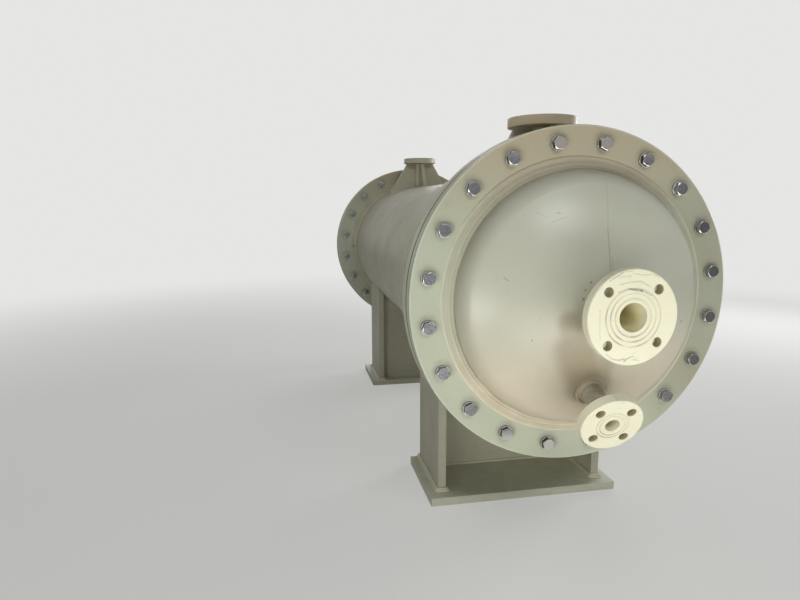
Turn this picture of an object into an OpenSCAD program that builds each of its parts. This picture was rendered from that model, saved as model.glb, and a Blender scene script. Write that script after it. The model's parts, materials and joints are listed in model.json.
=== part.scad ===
// Shell and tube heat exchanger of welded plastic sheet and pipe, lying on two saddles.
// X runs across the unit, Y along it with the front head at -Y, and Z upwards.
// The origin is on the floor, under the middle of the unit.

/* [Shell] */
// Outside diameter of the shell
shell_od = 516; // [490:2:520]
// Wall of the shell
shell_wall = 12; // [6:1:20]
// Length of the shell between the tube sheets
shell_length = 1560; // [1400:10:2400]
// Height of the shell's axis over the floor
axis_height = 545; // [460:1:700]

/* [Tubes] */
// Outside diameter of one tube
tube_od = 32; // [20:1:36]
// Wall of one tube
tube_wall = 3; // [1:0.5:5]
// Distance between neighbouring tubes
tube_pitch = 46; // [40:1:48]
// Rings of tubes round the middle one
tube_rings = 4; // [2:1:4]
// Length of tube that stands out of a tube sheet
tube_stand_out = 2; // [0:0.5:3]

/* [Bolted joints of the heads] */
// Outside diameter of the big flanges
girth_od = 687; // [680:1:760]
// Thickness of a head's flange
head_flange_t = 30; // [20:1:45]
// Thickness of a tube sheet
tube_sheet_t = 32; // [20:1:50]
// Thickness of the gasket between them
gasket_t = 4; // [3:0.5:8]
// Width of the gasket between its edges
gasket_w = 54; // [20:1:54]
// Distance from the rim to the circle of bolts
girth_bolt_inset = 33.5; // [28:0.5:38]
// Number of bolts in a joint
girth_bolts = 20; // [12:1:24]
// Diameter of a bolt's hole
girth_hole_d = 18; // [14:1:22]

/* [Dished heads] */
// Outside diameter of a dished head
head_od = 512; // [480:2:520]
// Wall of a dished head
head_wall = 12; // [6:1:18]
// Outside radius of the crown
crown_r = 500; // [420:10:600]
// Outside radius of the knuckle at the rim
knuckle_r = 50; // [36:1:70]
// Straight rim between the flange and the knuckle
head_straight = 12; // [8:1:40]
// Width of the weld round the rim, measured along the flange
rim_weld_w = 28; // [20:1:30]
// Height of that weld along the rim
rim_weld_h = 12; // [9:1:16]

/* [Channel nozzles on the heads' axis] */
// Outside diameter of the flange
channel_flange_od = 167; // [150:1:200]
// Thickness of the flange
channel_flange_t = 20; // [14:1:30]
// Distance from the rim to the circle of bolt holes
channel_bolt_inset = 18.5; // [14:0.5:26]
// Turn of the bolt holes from the upright, as the flange was welded on
channel_turn = 1.5; // [0:0.5:5]
// Diameter of a bolt hole
channel_hole_d = 18; // [12:1:20]
// Outside diameter of the pipe
channel_pipe_od = 63; // [50:1:75]
// Bore of the pipe
channel_bore_d = 51.4; // [40:0.2:55]
// Distance from the crown to the flange's face
channel_reach = 102; // [70:1:160]

/* [Drain nozzles low on the heads] */
// Outside diameter of the flange
drain_flange_od = 118; // [110:1:125]
// Thickness of the flange
drain_flange_t = 21; // [12:1:26]
// Distance from the rim to the circle of bolt holes
drain_bolt_inset = 17; // [12:0.5:19]
// Diameter of a bolt hole
drain_hole_d = 18; // [10:1:18]
// Outside diameter of the pipe
drain_pipe_od = 40; // [36:1:42]
// Bore of the pipe
drain_bore_d = 28; // [16:1:30]
// Distance from the crown to the flange's face
drain_reach = 98; // [70:1:140]
// Distance of the nozzle's root on the crown below the head's axis
drain_drop = 168; // [160:1:180]
// Angle of the nozzle below the horizontal
drain_angle = 23.5; // [18:0.5:26]
// Lean of the nozzle to the left
drain_lean = 2; // [0:0.5:4]

/* [Nozzles on top of the shell] */
// Height of both flanges' faces over the shell's axis
top_face_height = 379; // [360:1:460]
// Distance from the front tube sheet to the front nozzle's axis
inlet_inset = 123; // [118:1:160]
// Distance from the rear tube sheet to the rear nozzle's axis
outlet_inset = 171; // [150:1:260]
// Outside diameter of the front flange
inlet_flange_od = 153; // [140:1:170]
// Thickness of the front flange
inlet_flange_t = 21; // [14:1:28]
// Distance from the front flange's rim to its circle of holes
inlet_bolt_inset = 21.5; // [15:0.5:25]
// Diameter of a hole in the front flange
inlet_hole_d = 18; // [12:1:18]
// Outside diameter of the front pipe
inlet_pipe_od = 50; // [40:1:60]
// Bore of the front pipe
inlet_bore_d = 40.8; // [30:0.2:45]
// Outside diameter of the rear flange
outlet_flange_od = 134; // [128:1:150]
// Thickness of the rear flange
outlet_flange_t = 21; // [14:1:28]
// Distance from the rear flange's rim to its circle of holes
outlet_bolt_inset = 17; // [14:0.5:22]
// Diameter of a hole in the rear flange
outlet_hole_d = 18; // [12:1:18]
// Outside diameter of the rear pipe
outlet_pipe_od = 40; // [34:1:50]
// Bore of the rear pipe
outlet_bore_d = 32.6; // [26:0.2:36]
// Thickness of a gusset plate
gusset_t = 14; // [8:1:20]
// Reach of a crosswise gusset from the nozzle's axis
gusset_reach = 136; // [120:1:150]
// Reach of a lengthwise gusset beside the tube sheet from the nozzle's axis
gusset_reach_along = 104; // [80:1:110]
// Rim of the flange that a gusset leaves free
gusset_inset = 12; // [8:1:20]

/* [Turned edges and grooves] */
// Chamfer round the rim of a flange or a tube sheet
rim_chamfer = 1.5; // [0.5:0.5:3]
// Width of a groove
groove_w = 2; // [1:0.5:3]
// Depth of a groove
groove_depth = 1; // [0.5:0.5:3]
// Distance from one groove to the next
groove_step = 8.5; // [6:0.5:8.5]
// Distance from the bolt holes to the outer groove
groove_gap = 4.5; // [1:0.5:5]
// Distance from a drain's bolt holes to its outer groove
drain_groove_gap = 2.5; // [2:0.5:4]
// Distance from a drain's outer groove to its inner one
drain_groove_step = 6; // [4:0.5:6.5]

/* [Saddles] */
// Width of a saddle's foot plate
foot_w = 488; // [470:2:600]
// Depth of a foot plate along the unit
foot_depth = 255; // [240:1:320]
// Thickness of the foot plate
foot_t = 20; // [10:1:30]
// Distance from a head's flange face to its foot plate
foot_inset = 215; // [190:1:300]
// Outside distance between the side plates
side_span = 436; // [400:2:460]
// Thickness of a side plate
side_t = 20; // [10:1:26]
// Depth of a side plate along the unit
side_depth = 210; // [180:1:215]
// Foot left free in front of a side plate
side_setback = 38; // [20:1:40]
// Thickness of the crosswise web
web_t = 20; // [10:1:30]
// Distance from the foot's front edge to the web
web_setback = 182; // [160:1:200]

/* [Band round the shell at the front saddle] */
// Distance from the front head's flange face to the band
band_inset = 370; // [340:1:390]
// Thickness of the band
band_t = 25; // [12:1:30]
// Width of the band along the shell
band_w = 130; // [80:2:160]

/* [Hidden] */
$fn = 96;

// Clearance between round faces that are welded or seated
seat = 0.25;
// Clearance of a tube in its tube sheet
tube_seat = 0.15;
// Clearance between the gasket and the bolts
gasket_seat = 3;
// Length by which a cutter passes the face that it cuts
over = 1;
// Height of a weld bead as a share of the weld's width
bead_share = 1 / 7;

body_colour = [0.78, 0.76, 0.66];
flange_colour = [0.80, 0.80, 0.70];
nozzle_colour = [0.95, 0.92, 0.82];
saddle_colour = [0.70, 0.69, 0.62];
gasket_colour = [0.12, 0.12, 0.12];
tube_colour = [0.86, 0.84, 0.74];

shell_r = shell_od / 2;
half_shell = shell_length / 2;
// Distance along Y from the middle to the outer face of a head's flange
face_y = half_shell + tube_sheet_t + gasket_t + head_flange_t;
girth_r = girth_od / 2;
girth_pcd = girth_od - 2 * girth_bolt_inset;
gasket_r = (girth_pcd - girth_hole_d) / 2 - gasket_seat;
head_r = head_od / 2;
head_bore_r = head_r - head_wall;
// Where the crown meets the knuckle, as an angle from the head's axis
crown_half_angle = asin((head_r - knuckle_r) / (crown_r - knuckle_r));
head_depth = head_straight + crown_r - (crown_r - knuckle_r) * cos(crown_half_angle);
// Height of the centre of the crown's sphere over the flange's face
crown_centre = head_depth - crown_r;
channel_pcd = channel_flange_od - 2 * channel_bolt_inset;
drain_pcd = drain_flange_od - 2 * drain_bolt_inset;
// Height of the drain's root over the flange's face
drain_root = crown_centre + sqrt(pow(crown_r, 2) - pow(drain_drop, 2));
inlet_pcd = inlet_flange_od - 2 * inlet_bolt_inset;
outlet_pcd = outlet_flange_od - 2 * outlet_bolt_inset;
channel_groove_r = (channel_pcd - channel_hole_d) / 2 - groove_gap;
drain_groove_r = (drain_pcd - drain_hole_d) / 2 - drain_groove_gap;
inlet_y = inlet_inset - half_shell;
outlet_y = half_shell - outlet_inset;
foot_y = face_y - foot_inset - foot_depth;
side_y = face_y - foot_inset - side_setback - side_depth;
web_y = face_y - foot_inset - web_setback - web_t;
band_y = face_y - band_inset - band_w;
band_r = shell_r + seat + band_t;

// Puts a shape that stands on z = 0 onto the outer face of the front head's flange
module at_front() {
    translate([0, -face_y, axis_height]) rotate([90, 0, 0]) children();
}

// Mirrors a piece of the front half to the rear
module to_rear() {
    mirror([0, 1, 0]) children();
}

// Puts an upright shape onto the shell's axis
module on_axis(y) {
    translate([0, y, axis_height]) children();
}

// Lays a shape that stands on z = 0 along the shell's axis, from y towards the front
module along_axis(y) {
    on_axis(y) rotate([90, 0, 0]) children();
}

// Puts a shape onto the face of a nozzle on top of the shell
module on_top(y) {
    on_axis(y) translate([0, 0, top_face_height]) children();
}

// Puts a shape onto the face of a channel nozzle
module on_channel() {
    translate([0, 0, head_depth + channel_reach]) children();
}

// Puts a shape onto the face of a drain, whose axis leaves the crown at its own angles
module on_drain() {
    translate([0, -drain_drop, drain_root])
        rotate([drain_angle, -drain_lean, 0])
            translate([0, 0, drain_reach])
                children();
}

// A flat ring or a pipe between two heights
module ring(outer_r, inner_r, low, high) {
    translate([0, 0, low]) difference() {
        cylinder(r = outer_r, h = high - low);
        translate([0, 0, -over]) cylinder(r = inner_r, h = high - low + 2 * over);
    }
}

// A turned disc or ring whose rim is chamfered on both sides
module disc(outer_r, inner_r, low, high) {
    shoulder_r = outer_r - rim_chamfer;
    rotate_extrude()
        polygon([
            [inner_r, low],
            [shoulder_r, low],
            [outer_r, low + rim_chamfer],
            [outer_r, high - rim_chamfer],
            [shoulder_r, high],
            [inner_r, high]
        ]);
}

// Turned grooves in a face at z = 0
module grooves(radii) {
    for (r = radii) ring(r, r - groove_w, -groove_depth, over);
}

// Bolt holes on a circle, half a step to each side of the upper middle
module bolt_holes(pcd, count, hole_d, low, high) {
    for (i = [0 : count - 1])
        rotate([0, 0, 90 + (i + 0.5) * 360 / count])
            translate([pcd / 2, 0, low - over])
                cylinder(d = hole_d, h = high - low + 2 * over);
}

// A round flange on a pipe, with four bolt holes and turned grooves, and its face at z = 0
module round_flange(od, t, pipe_od, pcd, hole_d, groove_radii) {
    difference() {
        disc(od / 2, pipe_od / 2 + seat, -t, 0);
        bolt_holes(pcd, 4, hole_d, -t, 0);
        grooves(groove_radii);
    }
}

// A pipe whose end is level with its flange's face at z = 0
module neck(od, bore, length) {
    ring(od / 2, bore / 2, -length, 0);
}

// Half of a dished head's outline, from its rim on y = 0 to its crown
module head_outline(inwards) {
    rim_r = head_r - inwards;
    crown = crown_r - inwards;
    intersection() {
        union() {
            square([rim_r, head_straight]);
            translate([head_r - knuckle_r, head_straight]) circle(r = knuckle_r - inwards);
            intersection() {
                translate([0, crown_centre]) circle(r = crown);
                polygon([
                    [0, crown_centre],
                    [2 * crown * sin(crown_half_angle), crown_centre + 2 * crown * cos(crown_half_angle)],
                    [0, crown_centre + 2 * crown]
                ]);
            }
        }
        square([rim_r, crown_centre + crown]);
    }
}

// Centres of the tubes, in six-sided rings round the middle one
function tube_centres() = [
    for (i = [-tube_rings : tube_rings], j = [-tube_rings : tube_rings])
        if (abs(i + j) <= tube_rings)
            [tube_pitch * (i + j / 2), tube_pitch * j * sqrt(3) / 2]
];

// A gusset narrows in one straight slope from its foot on the shell to the flange
module gusset(pipe_r, top_reach, foot_reach, drop) {
    foot_drop = drop - sqrt(pow(shell_r, 2) - pow(foot_reach, 2));
    rotate([90, 0, 0]) translate([0, 0, -gusset_t / 2]) linear_extrude(gusset_t)
        polygon([[pipe_r, 0], [top_reach, 0], [foot_reach, -foot_drop], [pipe_r, -foot_drop]]);
}

// Four gussets under a flange, cut to the round of the shell
module gussets(y, pipe_od, flange_od, flange_t, reach_along) {
    pipe_r = pipe_od / 2 + seat;
    top_reach = flange_od / 2 - gusset_inset;
    drop = top_face_height - flange_t;
    difference() {
        on_axis(y) translate([0, 0, drop])
            for (turn = [0, 180]) rotate([0, 0, turn]) {
                gusset(pipe_r, top_reach, gusset_reach, drop);
                rotate([0, 0, 90]) gusset(pipe_r, top_reach, reach_along, drop);
            }
        along_axis(half_shell) cylinder(r = shell_r + seat, h = shell_length);
    }
}

// Cuts the room of the shell, and of what goes round it behind the saddle, out of a saddle plate
module cradled(seat_r) {
    difference() {
        children();
        along_axis(0) cylinder(r = shell_r + seat, h = face_y);
        along_axis(-band_y + seat) cylinder(r = seat_r + seat, h = band_w + 2 * seat);
    }
}

module shell() {
    color(body_colour) difference() {
        along_axis(half_shell) ring(shell_r, shell_r - shell_wall, 0, shell_length);
        on_axis(inlet_y) cylinder(d = inlet_pipe_od + 2 * seat, h = shell_od);
        on_axis(outlet_y) cylinder(d = outlet_pipe_od + 2 * seat, h = shell_od);
    }
}

module tube_bundle() {
    reach = half_shell + tube_sheet_t + tube_stand_out;
    color(tube_colour)
        for (p = tube_centres())
            along_axis(reach) translate([p[0], p[1], 0])
                ring(tube_od / 2, tube_od / 2 - tube_wall, 0, 2 * reach);
}

module front_tube_sheet() {
    outer = -head_flange_t - gasket_t;
    color(flange_colour) at_front() difference() {
        disc(girth_r, 0, outer - tube_sheet_t, outer);
        bolt_holes(girth_pcd, girth_bolts, girth_hole_d, outer - tube_sheet_t, outer);
        for (p = tube_centres())
            translate([p[0], p[1], outer - tube_sheet_t - over])
                cylinder(r = tube_od / 2 + tube_seat, h = tube_sheet_t + 2 * over);
    }
}

module front_gasket() {
    color(gasket_colour) at_front() ring(gasket_r, gasket_r - gasket_w, -head_flange_t - gasket_t, -head_flange_t);
}

module front_head_flange() {
    color(flange_colour) at_front() difference() {
        disc(girth_r, head_bore_r, -head_flange_t, 0);
        bolt_holes(girth_pcd, girth_bolts, girth_hole_d, -head_flange_t, 0);
    }
}

module front_dished_head() {
    color(body_colour) at_front() difference() {
        rotate_extrude() difference() {
            head_outline(0);
            head_outline(head_wall);
        }
        cylinder(d = channel_pipe_od + 2 * seat, h = head_depth + over);
        on_drain() translate([0, 0, -drain_reach - 2 * head_wall])
            cylinder(d = drain_pipe_od + 2 * seat, h = drain_reach);
    }
}

// The weld between the rim and the flange is a fillet with three beads
module front_head_weld() {
    low_r = head_r + seat;
    bead = rim_weld_w * bead_share;
    color(body_colour) at_front() rotate_extrude() intersection() {
        translate([low_r, 0]) square([rim_weld_w, rim_weld_h]);
        union() {
            polygon([
                [low_r, 0],
                [low_r + rim_weld_w - bead, 0],
                [low_r + rim_weld_w / 2, rim_weld_h / 3],
                [low_r, rim_weld_h]
            ]);
            translate([low_r + rim_weld_w - bead, 0]) circle(r = bead);
            translate([low_r + rim_weld_w / 2, rim_weld_h / 4]) circle(r = bead);
            translate([low_r + bead, rim_weld_h - bead]) circle(r = bead);
        }
    }
}

module front_channel_neck() {
    color(nozzle_colour) at_front() on_channel()
        neck(channel_pipe_od, channel_bore_d, channel_reach + head_wall);
}

module front_channel_flange() {
    color(nozzle_colour) at_front() on_channel() rotate([0, 0, channel_turn])
        round_flange(channel_flange_od, channel_flange_t, channel_pipe_od, channel_pcd, channel_hole_d,
            [for (i = [0 : 2]) channel_groove_r - i * groove_step]);
}

module front_drain_neck() {
    color(nozzle_colour) at_front() on_drain()
        neck(drain_pipe_od, drain_bore_d, drain_reach + head_wall);
}

module front_drain_flange() {
    color(nozzle_colour) at_front() on_drain()
        round_flange(drain_flange_od, drain_flange_t, drain_pipe_od, drain_pcd, drain_hole_d,
            [drain_groove_r, drain_groove_r - drain_groove_step]);
}

module inlet_neck() {
    color(nozzle_colour) on_top(inlet_y)
        neck(inlet_pipe_od, inlet_bore_d, top_face_height - shell_r + shell_wall);
}

module inlet_flange() {
    color(nozzle_colour) on_top(inlet_y)
        round_flange(inlet_flange_od, inlet_flange_t, inlet_pipe_od, inlet_pcd, inlet_hole_d,
            [(inlet_pcd - inlet_hole_d) / 2 - groove_gap]);
}

module inlet_gussets() {
    color(body_colour) gussets(inlet_y, inlet_pipe_od, inlet_flange_od, inlet_flange_t, gusset_reach_along);
}

module outlet_neck() {
    color(nozzle_colour) on_top(outlet_y)
        neck(outlet_pipe_od, outlet_bore_d, top_face_height - shell_r + shell_wall);
}

module outlet_flange() {
    color(nozzle_colour) on_top(outlet_y)
        round_flange(outlet_flange_od, outlet_flange_t, outlet_pipe_od, outlet_pcd, outlet_hole_d,
            [(outlet_pcd - outlet_hole_d) / 2 - groove_gap]);
}

module outlet_gussets() {
    color(body_colour) gussets(outlet_y, outlet_pipe_od, outlet_flange_od, outlet_flange_t, gusset_reach);
}

module front_band() {
    color(body_colour) along_axis(-band_y) ring(band_r, shell_r + seat, 0, band_w);
}

module front_saddle_foot() {
    color(saddle_colour) translate([-foot_w / 2, -foot_y - foot_depth, 0]) cube([foot_w, foot_depth, foot_t]);
}

// A side plate reaches up to where its outer face meets the shell
module saddle_side(side, seat_r) {
    rise = axis_height - sqrt(pow(shell_r, 2) - pow(side_span / 2, 2));
    color(saddle_colour) cradled(seat_r)
        translate([(side * (side_span - side_t) - side_t) / 2, -side_y - side_depth, foot_t])
            cube([side_t, side_depth, rise - foot_t]);
}

// The web reaches up to where the side plates' inner faces meet what it carries
module saddle_web(seat_r) {
    rise = axis_height - sqrt(pow(seat_r, 2) - pow(side_span / 2 - side_t, 2));
    color(saddle_colour) cradled(seat_r)
        translate([side_t - side_span / 2, -web_y - web_t, foot_t])
            cube([side_span - 2 * side_t, web_t, rise - foot_t]);
}

module front_saddle_left() {
    saddle_side(-1, band_r);
}

module front_saddle_right() {
    saddle_side(1, band_r);
}

module front_saddle_web() {
    saddle_web(band_r);
}

module rear_saddle_left() {
    to_rear() saddle_side(-1, shell_r);
}

module rear_saddle_right() {
    to_rear() saddle_side(1, shell_r);
}

module rear_saddle_web() {
    to_rear() saddle_web(shell_r);
}

shell();
tube_bundle();
front_tube_sheet();
to_rear() front_tube_sheet();  // rear_tube_sheet
front_gasket();
to_rear() front_gasket();  // rear_gasket
front_head_flange();
to_rear() front_head_flange();  // rear_head_flange
front_dished_head();
to_rear() front_dished_head();  // rear_dished_head
front_head_weld();
to_rear() front_head_weld();  // rear_head_weld
front_channel_neck();
to_rear() front_channel_neck();  // rear_channel_neck
front_channel_flange();
to_rear() front_channel_flange();  // rear_channel_flange
front_drain_neck();
to_rear() front_drain_neck();  // rear_drain_neck
front_drain_flange();
to_rear() front_drain_flange();  // rear_drain_flange
inlet_neck();
inlet_flange();
inlet_gussets();
outlet_neck();
outlet_flange();
outlet_gussets();
front_band();
front_saddle_foot();
front_saddle_left();
front_saddle_right();
front_saddle_web();
to_rear() front_saddle_foot();  // rear_saddle_foot
rear_saddle_left();
rear_saddle_right();
rear_saddle_web();
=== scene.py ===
# %% [markdown]
# # A shell and tube heat exchanger of welded plastic
# This unit passes heat between two liquids. One runs through a bundle of
# thin tubes, and the other runs round them, inside the long round shell.
# Corrosive liquids would eat steel, so every wall here is polypropylene,
# turned, sawn, bent and welded by hand. The shapes come from the CAD part.
# These cells dress it: finishes on each node, bolts, weld beads and light.
#
# ## The frame
# The CAD part could be imported by hand, but then each new pack would have
# to be set in place again.

# %% Load the frame
import json
import math
import random

import bmesh
import bpy
from mathutils import Matrix, Vector


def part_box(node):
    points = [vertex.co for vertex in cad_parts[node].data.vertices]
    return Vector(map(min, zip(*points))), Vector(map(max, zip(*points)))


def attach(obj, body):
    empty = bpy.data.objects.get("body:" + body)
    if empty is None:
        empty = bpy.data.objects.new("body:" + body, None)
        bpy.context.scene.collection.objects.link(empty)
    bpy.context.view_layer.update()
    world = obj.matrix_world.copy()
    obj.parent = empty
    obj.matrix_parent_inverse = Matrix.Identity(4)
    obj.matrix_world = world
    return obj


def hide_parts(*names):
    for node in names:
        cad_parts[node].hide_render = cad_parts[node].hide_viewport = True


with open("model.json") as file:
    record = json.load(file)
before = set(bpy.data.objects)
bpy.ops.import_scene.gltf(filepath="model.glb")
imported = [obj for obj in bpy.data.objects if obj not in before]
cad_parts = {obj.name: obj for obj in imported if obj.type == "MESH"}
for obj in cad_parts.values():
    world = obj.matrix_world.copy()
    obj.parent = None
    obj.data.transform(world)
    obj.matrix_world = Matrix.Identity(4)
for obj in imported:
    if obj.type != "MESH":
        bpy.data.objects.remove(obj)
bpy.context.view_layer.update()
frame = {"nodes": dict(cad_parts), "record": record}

# %% [markdown]
# ## Sizes that everything else hangs on
# A fabricator works from a few datum sizes: the height of the axis, the
# faces of the big flanges and the circles of bolts. They could be typed in
# again here. Reading them from the frame is safer, because a changed part
# then carries its bolts and welds along with it.

# %% Read the datum sizes
MM = 0.001
mounts = {m["name"]: m for m in frame["record"]["mounts"]}

flange_low, flange_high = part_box("front_head_flange")
AXIS = (flange_low.z + flange_high.z) / 2
FACE = -flange_low.y
GIRTH_R = flange_high.x
SHEET = -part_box("front_tube_sheet")[1].y
SHELL_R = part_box("shell")[1].x
DISH_R = SHELL_R - 2 * MM
BOLT_CIRCLE = mounts["front_head_bolts"]["dims"]["pcd_mm"] / 2 * MM
BOLTS = mounts["front_head_bolts"]["dims"]["count"]
for title, size in (("axis", AXIS), ("face", FACE), ("girth", GIRTH_R), ("inner face", SHEET)):
    print(title, round(size, 4))

# %% [markdown]
# ## The camera
# The photographer stood a little to the left of the unit and at the height
# of its upper rim, and held a phone with a short lens. The view could be
# matched by eye. Here it was solved from the round flanges and the bolts,
# whose sizes are known, so the camera is three numbers for its place, three
# for its turn and one lens, with no shift.

# %% Set the camera
CAMERA_PLACE = (-0.570575, -FACE - 1.115292, AXIS + 0.193486)
CAMERA_TURN = (1.409269, 0.003880, -0.186102)
FOCAL_PIXELS, PICTURE_PIXELS, SENSOR_MM = 596.894, 800, 36.0
NEAR_CLIP = 0.05


def add_object(name, data):
    """Puts a new object with this data into the scene."""
    made = bpy.data.objects.new(name, data)
    bpy.context.scene.collection.objects.link(made)
    return made


camera_data = bpy.data.cameras.new("camera")
camera_data.sensor_width = SENSOR_MM
camera_data.lens = FOCAL_PIXELS * SENSOR_MM / PICTURE_PIXELS
camera_data.clip_start = NEAR_CLIP
camera = add_object("camera", camera_data)
camera.location = CAMERA_PLACE
camera.rotation_euler = CAMERA_TURN
bpy.context.scene.camera = camera
bpy.context.scene.view_settings.view_transform = "Standard"
print("lens", round(camera_data.lens, 2), "mm at", [round(v, 3) for v in CAMERA_PLACE])

# %% [markdown]
# ## A way to lay nodes
# Each finish is a tree of shader nodes. It could be drawn by hand in the
# editor. In a script the same few moves come again and again: add a node,
# set its values, join its sockets. These helpers do that, so that the cells
# below can speak about the finish and not about the wiring.

# %% Helpers that add nodes
def feed(tree, node, sockets):
    """Sets a node's inputs to plain values, or joins them to outputs."""
    for key, value in sockets.items():
        if isinstance(value, bpy.types.NodeSocket):
            tree.links.new(value, node.inputs[key])
        else:
            node.inputs[key].default_value = value


def put(tree, kind, sockets=None, **settings):
    """Adds a node with its inputs and its settings."""
    made = tree.nodes.new("ShaderNode" + kind)
    for name, value in settings.items():
        setattr(made, name, value)
    feed(tree, made, sockets or {})
    return made


def calc(tree, operation, *values):
    """One sum on numbers or sockets."""
    return put(tree, "Math", dict(enumerate(values)), operation=operation).outputs[0]


def times(tree, first, *others):
    """The product of numbers and sockets."""
    for value in others:
        first = calc(tree, "MULTIPLY", first, value)
    return first


def on_vectors(tree, operation, *values):
    """One sum on vectors. Output 0 is a vector, and Value a number."""
    return put(tree, "VectorMath", dict(enumerate(values)), operation=operation).outputs


def apart(tree, vector):
    """The X, Y and Z of a vector."""
    return put(tree, "SeparateXYZ", {0: vector}).outputs


print("a socket takes a plain value or another node's output")

# %% [markdown]
# ### Masks and colours
# A finish is built up as paint is: a ground colour, then one tone after
# another where a mask lets it through. A picture could hold each mask. Sums
# on the place of a point, and noise of a given size in metres, give masks
# that stay sharp at any distance.

# %% Helpers for masks and colours
def between(tree, value, low, high, out_low=0.0, out_high=1.0):
    """Spreads the stretch from low to high smoothly over the outputs."""
    return put(tree, "MapRange", {
        "Value": value, "From Min": low, "From Max": high,
        "To Min": out_low, "To Max": out_high,
    }, interpolation_type="SMOOTHSTEP").outputs["Result"]


def noise(tree, vector, size, detail=3.0, roughness=0.5, distortion=0.0):
    """Soft random patches about size metres across."""
    scale = calc(tree, "DIVIDE", 1.0, size) if isinstance(size, bpy.types.NodeSocket) else 1 / size
    return put(tree, "TexNoise", {
        "Vector": vector, "Scale": scale, "Detail": detail,
        "Roughness": roughness, "Distortion": distortion,
    }).outputs["Fac"]


def noise_along(tree, value, detail=2.0):
    """Uneven ups and downs along one number, about one for each unit."""
    sockets = {"W": value, "Scale": 1.0, "Detail": detail}
    return put(tree, "TexNoise", sockets, noise_dimensions="1D").outputs["Fac"]


def round_axis(tree, vector):
    """The X, Y and Z of a vector, the vector without its Z, and its distance from the Z axis."""
    parts = apart(tree, vector)
    flat = put(tree, "CombineXYZ", {0: parts[0], 1: parts[1]}).outputs[0]
    return parts, flat, on_vectors(tree, "LENGTH", flat)["Value"]


def blend(tree, share, first, second):
    """Mixes two colours by a share from 0 to 1."""
    return put(tree, "Mix", {0: share, 6: first, 7: second}, data_type="RGBA").outputs[2]


def layers(tree, colour, *coats):
    """Lays coats over a colour. Each is a mask, the share that it covers, and a tone."""
    for mask, share, tone in coats:
        colour = blend(tree, mask if share == 1 else times(tree, mask, share), colour, tone)
    return colour


def paint(red, green, blue):
    """A colour as it is read off a screen, made linear for the shader."""
    def linear(channel):
        share = channel / 255
        return share / 12.92 if share <= 0.04045 else ((share + 0.055) / 1.055) ** 2.4
    return (linear(red), linear(green), linear(blue), 1.0)


print("a mid grey is", [round(v, 3) for v in paint(128, 128, 128)])

# %% [markdown]
# ## Shared effects as groups
# Turned rings, scratches, grime and the ripple of a weld are on many pieces
# here. Each could be built again in every material, but then a change has
# to be made many times. A node group is built once, has named inputs, and is
# placed in each material with that piece's own values.

# %% Helpers for groups
def new_group(name, inputs, outputs):
    """Makes an empty group and returns it with its inner ends."""
    tree = bpy.data.node_groups.new(name, "ShaderNodeTree")
    for title, value in inputs.items():
        kind = "NodeSocketVector" if value is None else "NodeSocketFloat"
        socket = tree.interface.new_socket(title, in_out="INPUT", socket_type=kind)
        if value is not None:
            socket.default_value = value
    for title in outputs:
        kind = "NodeSocketVector" if title == "Vector" else "NodeSocketFloat"
        tree.interface.new_socket(title, in_out="OUTPUT", socket_type=kind)
    return tree, tree.nodes.new("NodeGroupInput").outputs, tree.nodes.new("NodeGroupOutput").inputs


def close_group(tree, outs, **results):
    """Joins the results to the group's outputs."""
    for title, socket in results.items():
        tree.links.new(socket, outs[title])
    print(tree.name, "ready")
    return tree


def place(tree, group, **values):
    """Places a group in a material. Patch_Size=1 sets its input Patch Size."""
    made = tree.nodes.new("ShaderNodeGroup")
    made.node_tree = group
    feed(tree, made, {name.replace("_", " "): value for name, value in values.items()})
    return made.outputs


print("groups so far:", len(bpy.data.node_groups))

# %% [markdown]
# ### Grain
# Pressed and extruded polypropylene is never one even tone. It has wide
# pale and dull patches, a hand's width across, and a skin with a grain of
# about a millimetre. A picture texture could hold that. Two noises at the
# real scale do it without any picture, and don't repeat.

# %% Grain of the plastic
inputs = {"Vector": None, "Patch Size": 0.09, "Grain Size": 0.0013}
tree, ins, outs = new_group("plastic_grain", inputs, ["Patches", "Grain"])
patches = noise(tree, ins["Vector"], ins["Patch Size"], detail=4.0, roughness=0.55)
fine = noise(tree, ins["Vector"], ins["Grain Size"], detail=2.0)
grain_group = close_group(tree, outs, Patches=between(tree, patches, 0.3, 0.7), Grain=fine)

# %% [markdown]
# ### Scratches
# Plates are dragged over benches and floors, which leaves short fine lines
# in many directions. They could be drawn one by one. A noise that is
# squeezed hard in one direction and cut off near its top gives thin streaks,
# and a second, wide noise decides where the plate was scratched at all.

# %% Fine scratches
# Each set of streaks has a turn, and a length and a width in metres.
STREAKS = ((0.5, 0.050, 0.0007), (-0.9, 0.035, 0.0006), (1.9, 0.028, 0.0006))

tree, ins, outs = new_group("fine_scratches", {"Vector": None, "Amount": 0.5}, ["Scratches"])
joined = 0.0
for turn, length, width in STREAKS:
    drawn_out = put(tree, "Mapping", {
        "Vector": ins["Vector"],
        "Rotation": (turn, turn * 0.7, turn),
        "Scale": (1 / length, 1 / width, 1 / length),
    }).outputs[0]
    streak = between(tree, noise(tree, drawn_out, 1.0, detail=1.0), 0.70, 0.78)
    joined = calc(tree, "MAXIMUM", joined, streak)
where = between(tree, noise(tree, ins["Vector"], 0.11), 0.45, 0.65)
scratch_group = close_group(tree, outs, Scratches=times(tree, joined, where, ins["Amount"]))

# %% [markdown]
# ### Turned rings
# A flange is faced on a lathe, and the tool leaves fine rings round its
# axis. A wave would make them all alike. A noise that only sees the distance
# from the axis gives rings of uneven depth and spacing, as a real cut has.
# The group expects the axis along Z, so each material first turns its own
# coordinates to suit.

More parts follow.
